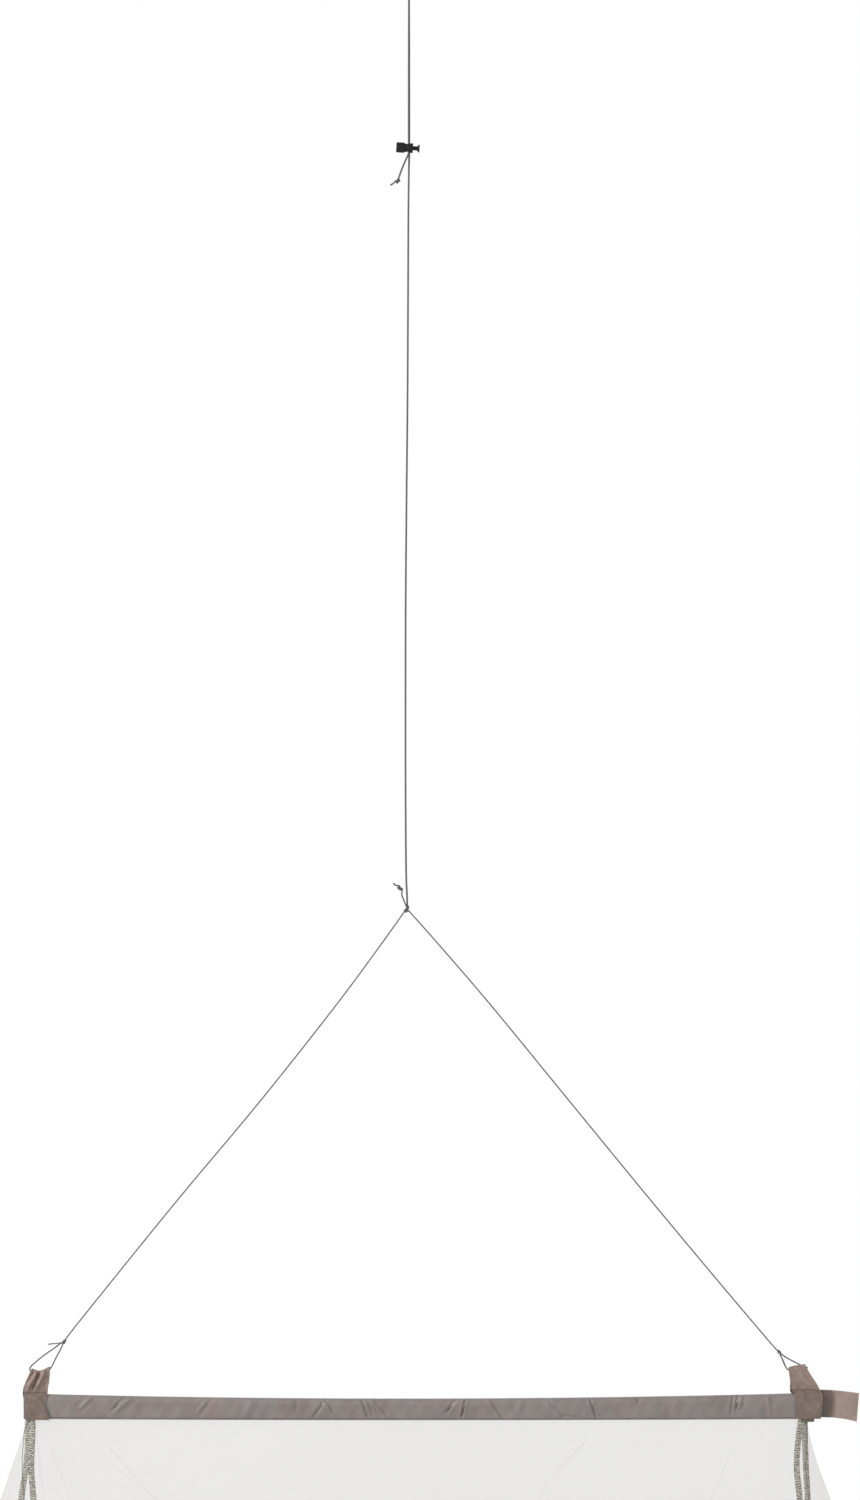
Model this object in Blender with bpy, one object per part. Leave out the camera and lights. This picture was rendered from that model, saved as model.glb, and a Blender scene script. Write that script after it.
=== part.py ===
"""A mosquito net canopy on its spreader bar, hung from one adjustable cord.

Metres, +Z up. The origin is the point on which a hook carries the top loop of the cord. +X runs along the
spreader bar and -Y is the front. The cord comes down through a cord lock to a knot, where a bridle spreads to
two webbing tabs. The tabs hold a cloth sleeve round the bar, and the net hangs from the sleeve's lower edge:
two panels, two flared end gores and the four bound seams between them.
"""

import math

import bmesh
import bpy
from mathutils import Vector

CLEARANCE = 0.0003

# Cords
MAIN_DIAMETER = 0.0018
BRIDLE_DIAMETER = 0.0013
CORD_BEVEL_STEPS = 2

# Cord lock, along its own X, tilted about Y
LOCK_Z = -0.1686
LOCK_TILT = math.radians(3.4)
BARREL_SIDES = 20
BARREL_PROFILE = (
    # place along the lock, radius
    (-0.0121, 0.0044),
    (-0.0117, 0.0049),
    (-0.0046, 0.0049),
    (-0.0038, 0.0040),
    (-0.0009, 0.0040),
    (-0.0007, 0.0047),
    (0.0035, 0.0047),
    (0.0038, 0.0044),
)
BORE_RADIUS = 0.0034
BORE_END = -0.0065
CROSS_HOLE_WIDTH = 0.0030
CROSS_HOLE_DEPTH = 0.0046
CROSS_HOLE_REACH = 0.0080
SLOT_REACH = 0.0060
HOLE_CORNER = 0.0006
PLUNGER_STROKE = 0.0015
SLOT_EASE = 0.0001
PLUNGER_SIDES = 16
PLUNGER_PROFILE = (
    # place along the lock, radius
    (-0.0035, 0.0027),
    (-0.0031, 0.0031),
    (0.0036, 0.0031),
    (0.0037, 0.0019),
    (0.0080, 0.0020),
    (0.0088, 0.0036),
    (0.0099, 0.0038),
    (0.0101, 0.0036),
)

# Knots: lumps of wound cord, each with three ridges that wind along it
KNOT_SIDES = 10
KNOT_RINGS = 8
KNOT_RIDGE = 0.16
KNOT_TAPER = 0.72
MIDDLE_KNOT_RADIUS = 0.0021
MIDDLE_KNOT_REACH = 0.0030
CROWN = ((-0.0032, -0.0004, -0.8913), (-0.0013, 0.0004, -0.8865))
MIDDLE_TAIL = (
    # x, y, z and the number of steps to the next point
    (-0.00260, -0.00030, -0.8895, 2),
    (-0.00520, -0.00060, -0.8830, 3),
    (-0.00750, -0.00080, -0.8770, 3),
    (-0.00900, -0.00080, -0.8715, 2),
    (-0.01180, -0.00080, -0.8698, 2),
    (-0.01530, -0.00080, -0.8668, 0),
)
MIDDLE_STOPPER_RADIUS = 0.0018
MIDDLE_STOPPER = ((-0.0112, -0.0008, -0.8727), (-0.0070, -0.0008, -0.8711))
LEFT_KNOT_RADIUS = 0.0025
LEFT_KNOT_REACH = 0.0027
LEFT_TAIL = (
    (-0.32920, -0.00150, -1.3026, 2),
    (-0.33300, -0.00140, -1.3037, 2),
    (-0.33800, -0.00110, -1.3045, 2),
    (-0.34300, -0.00090, -1.3048, 0),
)
RIGHT_KNOT_RADIUS = 0.0023
RIGHT_KNOT_REACH = 0.0026
RIGHT_TAIL = (
    (0.35210, -0.00140, -1.3135, 2),
    (0.35350, -0.00140, -1.3175, 2),
    (0.35540, -0.00170, -1.3216, 2),
    (0.35740, -0.00170, -1.3260, 0),
)
TAIL_KNOT_RADIUS = 0.0021
TAIL_KNOT = ((-0.00965, -0.0013, -0.1976), (-0.0113, -0.0013, -0.2022))
TAIL_END = (
    (-0.01060, -0.00130, -0.2003, 2),
    (-0.01350, -0.00130, -0.2023, 2),
    (-0.01800, -0.00130, -0.2038, 0),
)

# Spreader bar and its sleeve
SLEEVE_LEFT = -0.3657
SLEEVE_RIGHT = 0.3905
SLEEVE_TOP_LEFT = -1.3518
SLEEVE_TOP_RIGHT = -1.3509
SLEEVE_TOP_BOW = 0.0052
SLEEVE_BOTTOM = -1.3760
SLEEVE_BOTTOM_BOW = 0.0012
SLEEVE_TOP_RADIUS = 0.0053
SLEEVE_BOTTOM_RADIUS = 0.0028
SLEEVE_WALL = 0.0009
SLEEVE_RING_PITCH = 0.0105
ROD_RADIUS = 0.0040
ROD_END_INSET = 0.0030
WRINKLES = (
    # place along the bar, lean (run per rise), half width, height
    (-0.327, 0.9, 0.0075, 0.0005),
    (-0.274, 1.3, 0.0080, 0.0007),
    (-0.212, 1.1, 0.0070, 0.0006),
    (-0.141, 0.8, 0.0090, 0.0004),
    (-0.056, 1.2, 0.0080, 0.0007),
    (0.040, 1.2, 0.0090, 0.0008),
    (0.052, 1.5, 0.0070, 0.0005),
    (0.113, -0.8, 0.0080, 0.0005),
    (0.176, 1.3, 0.0090, 0.0007),
    (0.235, 1.0, 0.0080, 0.0007),
    (0.300, 0.9, 0.0080, 0.0006),
)
WRINKLES_FROM = -0.341
WRINKLES_TO = 0.358
WRINKLE_FADE = 0.010

# Webbing tabs and the closing flap
WEBBING = 0.0012
TAB_FOLD_RADIUS = 0.0025
LEG_SHARE = 0.42
TAB_LEGS = (
    # drop below the fold's top, half depth of the leg
    (0.0060, 0.0029),
    (0.0095, 0.0032),
    (0.0130, 0.0034),
    (0.0170, 0.0035),
    (0.0222, 0.0034),
    (0.0247, 0.0046),
    (0.0270, 0.0060),
    (0.0300, 0.0065),
    (0.0335, 0.0061),
    (0.0380, 0.0054),
    (0.0440, 0.0045),
    (0.0482, 0.0042),
)
TAB_COLUMNS = 10
LEFT_CRUMPLE = 0.0009
RIGHT_CRUMPLE = 0.0004
CRUMPLES = 2.2
CRUMPLE_MIDDLE = 0.0110
CRUMPLE_REACH = 0.0105
LEFT_TAB_OUTLINE = (
    # drop, left edge, right edge
    (0.0000, -0.3583, -0.3411),
    (0.0060, -0.3611, -0.3414),
    (0.0120, -0.3639, -0.3420),
    (0.0180, -0.3657, -0.3427),
    (0.0222, -0.3653, -0.3431),
    (0.0285, -0.3643, -0.3446),
    (0.0329, -0.3642, -0.3459),
    (0.0378, -0.3641, -0.3449),
    (0.0422, -0.3640, -0.3430),
    (0.0482, -0.3639, -0.3412),
)
LEFT_TAB_TOP = (-1.3282, -1.3303, -1.3266)
RIGHT_TAB_OUTLINE = (
    (0.0000, 0.3607, 0.3747),
    (0.0035, 0.3610, 0.3757),
    (0.0060, 0.3613, 0.3781),
    (0.0105, 0.3619, 0.3824),
    (0.0152, 0.3625, 0.3858),
    (0.0200, 0.3633, 0.3889),
    (0.0235, 0.3642, 0.3906),
    (0.0265, 0.3660, 0.3920),
    (0.0350, 0.3670, 0.3922),
    (0.0482, 0.3676, 0.3912),
)
RIGHT_TAB_TOP = (-1.3270, -1.3255, -1.3240)
TOP_BEND = 0.4
TOP_SETTLED = 0.022
BACK_LEG_SHIFT = -0.0024
BACK_LEG_PARTS = 0.0150
BACK_LEG_PARTED = 0.0250
FLAP_START = SLEEVE_RIGHT + CLEARANCE
FLAP_END = 0.4278
FLAP_STUB_END = 0.4008
STUB_BULGE = 0.0022
FLAP_THICKNESS = 0.0016
FLAP_TOP = -1.3483
FLAP_BOTTOM = -1.3742
FLAP_TOP_FALL = 0.0037
FLAP_BOTTOM_FALL = 0.0048
FLAP_SLANT = 0.0022
FLAP_Y = 0.0012
FLAP_LEAN = 0.0040

# Net and its seams
NET_DROP = 1.500
NET_THICKNESS = 0.0012
HEM_HEIGHT = 0.015
HEM_THICKNESS = 0.0022
HEM_STEP = 0.0015
TOP_HALF_DEPTH = 0.0022
DEPTH_SLOPE = 0.28
GORE_START = 0.006
GORE_BULGE_START = 0.0030
GORE_SLOPE = 0.290
SEAM_WIDTH = 0.0050
SEAM_THICKNESS = 0.0020
SEAM_SETTLE = 0.020
SEAMS = {
    # side: place along the bar at the sleeve, after it settles, at the hem
    "front_left": (-0.3570, -0.3556, -0.335),
    "back_left": (-0.3629, -0.3685, -0.420),
    "front_right": (0.3743, 0.3690, 0.350),
    "back_right": (0.3781, 0.3790, 0.410),
}
PANEL_COLUMNS = 36
GORE_COLUMNS = 24
NET_ROW_DROPS = (0.0, 0.006, 0.016, 0.034, 0.080, 0.200, 0.420, 0.680, 0.960, 1.240)
FLUTE_DEPTH = 0.026
PANEL_FLUTES = 5.0
GORE_FLUTES = 4.5

# The cords' routes: x, y, z and the number of steps to the next point
MAIN_ROUTE = (
    (-0.00168, 0.00000, -0.8858, 2),
    (-0.00190, 0.00000, -0.8782, 2),
    (-0.00256, 0.00000, -0.8640, 4),
    (-0.00323, 0.00000, -0.7880, 3),
    (-0.00332, 0.00000, -0.6930, 3),
    (-0.00314, 0.00000, -0.5980, 3),
    (-0.00237, 0.00000, -0.5030, 3),
    (-0.00142, 0.00000, -0.4080, 3),
    (-0.00095, 0.00020, -0.3130, 3),
    (-0.00047, 0.00060, -0.2180, 3),
    (0.00010, 0.00100, -0.1800, 2),
    (0.00030, 0.00105, -0.1740, 2),
    (0.00030, 0.00105, -0.1640, 3),
    (0.00030, 0.00140, -0.1400, 3),
    (0.00020, 0.00330, -0.0700, 3),
    (0.00000, 0.00540, -0.0120, 2),
    (0.00000, 0.00550, -0.0046, 2),
    (0.00000, 0.00389, -0.0007, 2),
    (0.00000, 0.00000, 0.0009, 2),
    (0.00000, -0.00389, -0.0007, 2),
    (0.00000, -0.00550, -0.0046, 2),
    (0.00000, -0.00540, -0.0120, 3),
    (-0.00020, -0.00330, -0.0700, 3),
    (-0.00030, -0.00140, -0.1400, 3),
    (-0.00030, -0.00105, -0.1640, 3),
    (-0.00030, -0.00110, -0.1732, 2),
    (-0.00133, -0.00140, -0.1762, 2),
    (-0.00332, -0.00160, -0.1806, 2),
    (-0.00713, -0.00160, -0.1897, 2),
    (-0.00935, -0.00140, -0.1959, 1),
    (-0.00975, -0.00130, -0.1973, 0),
)
BRIDLE_ROUTE = (
    (-0.33090, 0.00110, -1.3042, 1),
    (-0.33300, 0.00130, -1.3056, 1),
    (-0.33630, 0.00110, -1.3083, 2),
    (-0.34770, 0.00030, -1.3162, 2),
    (-0.35540, 0.00000, -1.3226, 1),
    (-0.35890, 0.00000, -1.3258, 2),
    (-0.36030, 0.00000, -1.3287, 2),
    (-0.35900, 0.00000, -1.3313, 2),
    (-0.35550, 0.00000, -1.3329, 1),
    (-0.35050, 0.00000, -1.3331, 1),
    (-0.34550, 0.00000, -1.3315, 2),
    (-0.34170, 0.00000, -1.3291, 2),
    (-0.33910, 0.00000, -1.3257, 2),
    (-0.33700, 0.00000, -1.3213, 1),
    (-0.33393, 0.00000, -1.3153, 1),
    (-0.33108, 0.00000, -1.3100, 1),
    (-0.32936, 0.00000, -1.3062, 1),
    (-0.32756, 0.00000, -1.3024, 2),
    (-0.32443, 0.00000, -1.2977, 1),
    (-0.31967, 0.00000, -1.2915, 2),
    (-0.29688, 0.00000, -1.2630, 1),
    (-0.21992, 0.00000, -1.1680, 2),
    (-0.14060, 0.00000, -1.0730, 2),
    (-0.06555, 0.00000, -0.9780, 1),
    (-0.03040, 0.00000, -0.9305, 1),
    (-0.00997, 0.00000, -0.9020, 1),
    (-0.00560, 0.00000, -0.8958, 2),
    (-0.00370, 0.00000, -0.8936, 2),
    (-0.00200, 0.00000, -0.8929, 2),
    (-0.00030, 0.00000, -0.8935, 2),
    (0.00170, 0.00000, -0.8955, 1),
    (0.00760, 0.00000, -0.9020, 1),
    (0.03277, 0.00000, -0.9305, 1),
    (0.07362, 0.00000, -0.9780, 2),
    (0.15152, 0.00000, -1.0730, 2),
    (0.22942, 0.00000, -1.1680, 2),
    (0.30875, 0.00000, -1.2630, 1),
    (0.33297, 0.00000, -1.2915, 1),
    (0.34057, 0.00000, -1.3005, 1),
    (0.34818, 0.00000, -1.3091, 1),
    (0.35140, 0.00000, -1.3124, 1),
    (0.35483, 0.00060, -1.3153, 1),
    (0.36195, 0.00300, -1.3198, 1),
    (0.37050, 0.00470, -1.3243, 1),
    (0.37560, 0.00520, -1.3264, 2),
    (0.37910, 0.00280, -1.3275, 2),
    (0.37700, 0.00010, -1.3283, 2),
    (0.37150, 0.00000, -1.3280, 1),
    (0.36650, 0.00000, -1.3287, 2),
    (0.36150, 0.00000, -1.3296, 2),
    (0.35870, 0.00000, -1.3279, 2),
    (0.35680, 0.00000, -1.3240, 1),
    (0.35470, 0.00040, -1.3190, 1),
    (0.35264, 0.00090, -1.3153, 0),
)


# Shared making


def clear_scene():
    for thing in list(bpy.data.objects):
        bpy.data.objects.remove(thing, do_unlink=True)


def material(name, colour, roughness, metallic=0.0, alpha=1.0):
    """A Principled material with linear colour values."""
    made = bpy.data.materials.new(name)
    made.use_nodes = True
    shader = made.node_tree.nodes["Principled BSDF"]
    shader.inputs["Base Color"].default_value = (*colour, 1.0)
    shader.inputs["Roughness"].default_value = roughness
    shader.inputs["Metallic"].default_value = metallic
    shader.inputs["Alpha"].default_value = alpha
    return made


def add_object(name, mesh_or_curve, finish):
    made = bpy.data.objects.new(name, mesh_or_curve)
    made.data.materials.append(finish)
    bpy.context.scene.collection.objects.link(made)
    return made


def object_from_faces(name, build, finish, sharp_angle=math.radians(40)):
    """An object from what build(bm) adds, with its faces turned outwards."""
    bm = bmesh.new()
    build(bm)
    bmesh.ops.recalc_face_normals(bm, faces=bm.faces)
    mesh = bpy.data.meshes.new(name)
    bm.to_mesh(mesh)
    bm.free()
    mesh.shade_smooth()
    mesh.set_sharp_from_angle(angle=sharp_angle)
    return add_object(name, mesh, finish)


def skin(bm, rings, closed_chain=False):
    """Quads between rings of points. The chain of rings ends in caps, or joins its own start."""
    rows = [[bm.verts.new(point) for point in ring] for ring in rings]
    pairs = list(zip(rows, rows[1:]))
    if closed_chain:
        pairs.append((rows[-1], rows[0]))
    for lower, upper in pairs:
        for index in range(len(lower)):
            after = (index + 1) % len(lower)
            bm.faces.new((lower[index], lower[after], upper[after], upper[index]))
    if not closed_chain:
        bm.faces.new(rows[0])
        bm.faces.new(rows[-1])


def smooth_curve(route):
    """Points on one smooth curve through a route, by centripetal Catmull-Rom spans."""
    points = [Vector(row[:3]) for row in route]
    ends = [2 * points[0] - points[1], *points, 2 * points[-1] - points[-2]]
    line = []
    for index, row in enumerate(route[:-1]):
        four = ends[index : index + 4]
        times = [0.0]
        for first, second in zip(four, four[1:]):
            times.append(times[-1] + math.sqrt((second - first).length))
        for step in range(row[3]):
            time = times[1] + (times[2] - times[1]) * step / row[3]
            level = list(four)
            for order in (1, 2, 3):
                level = [
                    level[k].lerp(level[k + 1], span_share(times, time, k, order))
                    for k in range(len(level) - 1)
                ]
            line.append(level[0])
    return line + [points[-1]]


def span_share(times, time, index, order):
    """How far a time lies along the span that one blend of a curve covers."""
    first, last = {1: (0, 1), 2: (0, 2), 3: (1, 2)}[order]
    start = times[index + first]
    return (time - start) / (times[index + last] - start)


def cord(name, route, diameter, finish):
    curve = bpy.data.curves.new(name, "CURVE")
    curve.dimensions = "3D"
    curve.bevel_depth = diameter / 2
    curve.bevel_resolution = CORD_BEVEL_STEPS
    curve.use_fill_caps = True
    line = smooth_curve(route)
    spline = curve.splines.new("POLY")
    spline.points.add(len(line) - 1)
    for target, point in zip(spline.points, line):
        target.co = (*point, 1.0)
    return add_object(name, curve, finish)


def tube_rings(path, radius_at, sides):
    """Rings round a path. radius_at(share, angle) gives each point's distance from it."""
    side = Vector((0.0, 1.0, 0.0))
    rings = []
    for index, point in enumerate(path):
        before = path[max(index - 1, 0)]
        after = path[min(index + 1, len(path) - 1)]
        ahead = (after - before).normalized()
        across = (side - ahead * side.dot(ahead)).normalized()
        over = ahead.cross(across)
        share = index / (len(path) - 1)
        ring = []
        for step in range(sides):
            angle = 2 * math.pi * step / sides
            reach = radius_at(share, angle)
            ring.append(point + reach * (math.cos(angle) * across + math.sin(angle) * over))
        rings.append(ring)
    return rings


def revolved_rings(profile, sides):
    return [
        [
            Vector((place, radius * math.cos(angle), radius * math.sin(angle)))
            for angle in (2 * math.pi * step / sides for step in range(sides))
        ]
        for place, radius in profile
    ]


def cut(target, cutter):
    """Takes one object's space out of another."""
    cutter.hide_render = True
    cutter.display_type = "WIRE"
    modifier = target.modifiers.new(cutter.name, "BOOLEAN")
    modifier.operation = "DIFFERENCE"
    modifier.object = cutter


def add_on(target, extra):
    """Fuses another object's space to an object."""
    extra.hide_render = True
    extra.display_type = "WIRE"
    modifier = target.modifiers.new(extra.name, "BOOLEAN")
    modifier.operation = "UNION"
    modifier.object = extra


def between(table, key, column):
    """A table's column at a key, in straight lines between its rows."""
    if key <= table[0][0]:
        return table[0][column]
    for first, second in zip(table, table[1:]):
        if key <= second[0]:
            share = (key - first[0]) / (second[0] - first[0])
            return first[column] + (second[column] - first[column]) * share
    return table[-1][column]


def smoothly(table, key, column):
    """A table's column at a key, on a smooth curve through its rows."""
    if key <= table[0][0]:
        return table[0][column]
    for index, (first, second) in enumerate(zip(table, table[1:])):
        if key > second[0]:
            continue
        before = table[max(index - 1, 0)]
        after = table[min(index + 2, len(table) - 1)]
        span = second[0] - first[0]
        share = (key - first[0]) / span
        start_slope = (second[column] - before[column]) / (second[0] - before[0]) * span
        end_slope = (after[column] - first[column]) / (after[0] - first[0]) * span
        rise = second[column] - first[column]
        ease = share * share * (3 - 2 * share)
        leave = share * (1 - share) ** 2 * start_slope
        arrive = share * share * (share - 1) * end_slope
        return first[column] + rise * ease + leave + arrive
    return table[-1][column]


def slot_prism(name, left, right, bottom, top, finish):
    """An upright prism through the lock for both strands, with rounded corners."""
    outline = []
    for quarter in range(4):
        corner_x = right - HOLE_CORNER if quarter in (0, 3) else left + HOLE_CORNER
        corner_y = (CROSS_HOLE_DEPTH / 2 - HOLE_CORNER) * (1 if quarter < 2 else -1)
        for step in range(4):
            angle = math.pi / 2 * (quarter + step / 3)
            x = corner_x + HOLE_CORNER * math.cos(angle)
            y = corner_y + HOLE_CORNER * math.sin(angle)
            outline.append((x, y))
    rings = [[Vector((x, y, z)) for x, y in outline] for z in (bottom, top)]
    return object_from_faces(name, lambda bm: skin(bm, rings), finish)


# Knots


def knot(name, path, radius, bore, turns, finish):
    """A lump of wrapped cord along a path, with ridges that wind round it and a bore or none."""

    def outside(share, angle):
        round_end = math.sqrt(1.0 - KNOT_TAPER * (2 * share - 1) ** 2)
        ridge = 1 + KNOT_RIDGE * math.cos(3 * angle + 2 * math.pi * turns * share)
        return radius * round_end * ridge

    rings = tube_rings(path, outside, KNOT_SIDES)
    if bore:
        inside = tube_rings(path, lambda share, angle: bore, KNOT_SIDES)
        rings += inside[::-1]
    return object_from_faces(name, lambda bm: skin(bm, rings, closed_chain=bool(bore)), finish)


def straight_path(start, end, count=KNOT_RINGS):
    start, end = Vector(start), Vector(end)
    return [start.lerp(end, index / (count - 1)) for index in range(count)]


def cord_end(name, route, diameter, finish):
    """A short stretch of cord as a plain tube, to be fused to a knot."""
    rings = tube_rings(smooth_curve(route), lambda share, angle: diameter / 2, 8)
    return object_from_faces(name, lambda bm: skin(bm, rings), finish)


def route_near(route, row, half_length, count=KNOT_RINGS):
    """Evenly spread points on a route's smooth curve, as far each way from one of its own points."""
    line = smooth_curve(route)
    lengths = [0.0]
    for one, two in zip(line, line[1:]):
        lengths.append(lengths[-1] + (two - one).length)
    table = list(zip(lengths, range(len(line))))
    middle = lengths[sum(steps for _, _, _, steps in route[:row])]
    spread = []
    for index in range(count):
        reach = middle + half_length * (2 * index / (count - 1) - 1)
        place = between(table, reach, 1)
        low = min(int(place), len(line) - 2)
        spread.append(line[low].lerp(line[low + 1], place - low))
    return spread


def make_knots(finish):
    bore = BRIDLE_DIAMETER / 2 + CLEARANCE

    middle_path = route_near(BRIDLE_ROUTE, 28, MIDDLE_KNOT_REACH)
    middle = knot("y_knot", middle_path, MIDDLE_KNOT_RADIUS, bore, 1.2, finish)
    crown = knot("y_knot_crown", straight_path(*CROWN), MIDDLE_KNOT_RADIUS, 0.0, 1.0, finish)
    middle_tail = cord_end("y_knot_tail", MIDDLE_TAIL, MAIN_DIAMETER, finish)
    stopper_path = straight_path(*MIDDLE_STOPPER)
    stopper = knot("y_knot_stopper", stopper_path, MIDDLE_STOPPER_RADIUS, 0.0, 1.0, finish)
    for extra in (crown, middle_tail, stopper):
        add_on(middle, extra)

    left_path = route_near(BRIDLE_ROUTE, 17, LEFT_KNOT_REACH)
    left = knot("left_knot", left_path, LEFT_KNOT_RADIUS, bore, 1.3, finish)
    add_on(left, cord_end("left_knot_tail", LEFT_TAIL, BRIDLE_DIAMETER, finish))

    right_path = route_near(BRIDLE_ROUTE, 40, RIGHT_KNOT_REACH)
    right = knot("right_knot", right_path, RIGHT_KNOT_RADIUS, bore, 1.3, finish)
    add_on(right, cord_end("right_knot_tail", RIGHT_TAIL, BRIDLE_DIAMETER, finish))

    tail = knot("tail_knot", straight_path(*TAIL_KNOT), TAIL_KNOT_RADIUS, 0.0, 1.2, finish)
    add_on(tail, cord_end("tail_knot_end", TAIL_END, MAIN_DIAMETER, finish))


# Cord lock


def place_on_lock(piece):
    piece.location = (0.0, 0.0, LOCK_Z)
    piece.rotation_euler = (0.0, LOCK_TILT, 0.0)


def make_lock(finish):
    bore = ((BARREL_PROFILE[-1][0], BORE_RADIUS), (BORE_END, BORE_RADIUS))
    barrel_rings = revolved_rings(BARREL_PROFILE + bore, BARREL_SIDES)
    barrel = object_from_faces("lock_barrel", lambda bm: skin(bm, barrel_rings), finish)
    place_on_lock(barrel)

    half_hole = CROSS_HOLE_WIDTH / 2
    bottom, top = LOCK_Z - CROSS_HOLE_REACH, LOCK_Z + CROSS_HOLE_REACH
    cut(barrel, slot_prism("lock_cross_hole", -half_hole, half_hole, bottom, top, finish))

    plunger_rings = revolved_rings(PLUNGER_PROFILE, PLUNGER_SIDES)
    plunger = object_from_faces("lock_plunger", lambda bm: skin(bm, plunger_rings), finish)
    place_on_lock(plunger)
    slot_end = half_hole - SLOT_EASE + PLUNGER_STROKE
    slot = slot_prism("lock_plunger_slot", -half_hole, slot_end, -SLOT_REACH, SLOT_REACH, finish)
    place_on_lock(slot)
    cut(plunger, slot)


# Spreader bar and sleeve


def along_bar(x):
    return (x - SLEEVE_LEFT) / (SLEEVE_RIGHT - SLEEVE_LEFT)


def bow(x):
    """One at the middle of the bar and none at its ends."""
    return 1 - (2 * along_bar(x) - 1) ** 2


def sleeve_top(x):
    ends = SLEEVE_TOP_LEFT + (SLEEVE_TOP_RIGHT - SLEEVE_TOP_LEFT) * along_bar(x)
    return ends - SLEEVE_TOP_BOW * bow(x)


def sleeve_bottom(x):
    return SLEEVE_BOTTOM - SLEEVE_BOTTOM_BOW * bow(x)


def drop_outline(x, inset, top_steps=7, bottom_steps=4, side_steps=3):
    """A drop-shaped ring round the bar at x: wide round the bar, narrow at the stitched lower edge."""
    top_radius = SLEEVE_TOP_RADIUS - inset
    bottom_radius = SLEEVE_BOTTOM_RADIUS - inset
    top_centre = sleeve_top(x) - SLEEVE_TOP_RADIUS
    bottom_centre = sleeve_bottom(x) + SLEEVE_BOTTOM_RADIUS
    slant = math.asin((top_radius - bottom_radius) / (top_centre - bottom_centre))
    ring = []
    for step in range(top_steps):
        angle = -slant + (math.pi + 2 * slant) * step / (top_steps - 1)
        ring.append((math.cos(angle) * top_radius, top_centre + math.sin(angle) * top_radius))
    lower = []
    for step in range(bottom_steps):
        angle = math.pi + slant + (math.pi - 2 * slant) * step / (bottom_steps - 1)
        lower.append((math.cos(angle) * bottom_radius, bottom_centre + math.sin(angle) * bottom_radius))
    down = side_points(ring[-1], lower[0], side_steps)
    up = side_points(lower[-1], ring[0], side_steps)
    return [Vector((x, y, z)) for y, z in ring + down + lower + up]


def side_points(start, end, count):
    start, end = Vector(start), Vector(end)
    return [tuple(start.lerp(end, (index + 1) / (count + 1))) for index in range(count)]


def wrinkle_height(x, z):
    """How far the sleeve's cloth stands out at a place, flat under the tabs and at its edges."""
    middle = (sleeve_top(x) + sleeve_bottom(x)) / 2
    height = 0.0
    for place, lean, half_width, rise in WRINKLES:
        away = (x - place - lean * (z - middle)) / half_width
        height += rise * math.exp(-away * away)
    half_height = (sleeve_top(x) - sleeve_bottom(x)) / 2
    flat_edge = max(0.0, 1 - ((z - middle) / half_height) ** 4)
    inside_tabs = max(0.0, min(x - WRINKLES_FROM, WRINKLES_TO - x))
    clear_of_tabs = min(1.0, inside_tabs / WRINKLE_FADE)
    return height * flat_edge * clear_of_tabs


def make_sleeve(finish):
    ring_count = round((SLEEVE_RIGHT - SLEEVE_LEFT) / SLEEVE_RING_PITCH)
    outside = []
    for index in range(ring_count + 1):
        x = SLEEVE_LEFT + (SLEEVE_RIGHT - SLEEVE_LEFT) * index / ring_count
        ring = drop_outline(x, 0.0)
        for point in ring:
            point.y += math.copysign(wrinkle_height(x, point.z), point.y) * min(1, abs(point.y) / 0.002)
        outside.append(ring)
    inner_count = 12
    inside = []
    for index in range(inner_count + 1):
        x = SLEEVE_RIGHT + (SLEEVE_LEFT - SLEEVE_RIGHT) * index / inner_count
        inside.append(drop_outline(x, SLEEVE_WALL))
    return object_from_faces(
        "sleeve", lambda bm: skin(bm, outside + inside, closed_chain=True), finish
    )


def make_rod(finish):
    count = 14
    path = []
    for index in range(count + 1):
        x = SLEEVE_LEFT + ROD_END_INSET
        x += (SLEEVE_RIGHT - SLEEVE_LEFT - 2 * ROD_END_INSET) * index / count
        path.append(Vector((x, 0.0, sleeve_top(x) - SLEEVE_TOP_RADIUS)))
    rings = tube_rings(path, lambda share, angle: ROD_RADIUS, 12)
    return object_from_faces("spreader_rod", lambda bm: skin(bm, rings), finish)


# Sheets


def sheet(name, finish, surface, columns, rows, thickness):
    """A closed sheet about surface(u, v), as thick at each v as thickness(v) says."""
    nudge = 0.002

    def normal(u, v):
        low_u, high_u = max(u - nudge, 0.0), min(u + nudge, 1.0)
        low_v, high_v = max(v - nudge, 0.0), min(v + nudge, 1.0)
        across = surface(high_u, v) - surface(low_u, v)
        down = surface(u, high_v) - surface(u, low_v)
        return across.cross(down).normalized()

    def build(bm):
        sides = []
        for face in (0.5, -0.5):
            sides.append([
                [bm.verts.new(surface(u, v) + normal(u, v) * face * thickness(v)) for u in columns]
                for v in rows
            ])
        for grid in sides:
            for upper, lower in zip(grid, grid[1:]):
                for index in range(len(columns) - 1):
                    bm.faces.new((upper[index], upper[index + 1], lower[index + 1], lower[index]))
        rims = [rim_of(grid) for grid in sides]
        for index in range(len(rims[0])):
            after = (index + 1) % len(rims[0])
            bm.faces.new((rims[0][index], rims[0][after], rims[1][after], rims[1][index]))

    return object_from_faces(name, build, finish)


def rim_of(grid):
    """The points round the edge of a grid, in order."""
    top = grid[0]
    right = [row[-1] for row in grid[1:-1]]
    bottom = grid[-1][::-1]
    left = [row[0] for row in grid[1:-1]][::-1]
    return top + right + bottom + left


# Tabs and flap


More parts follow.
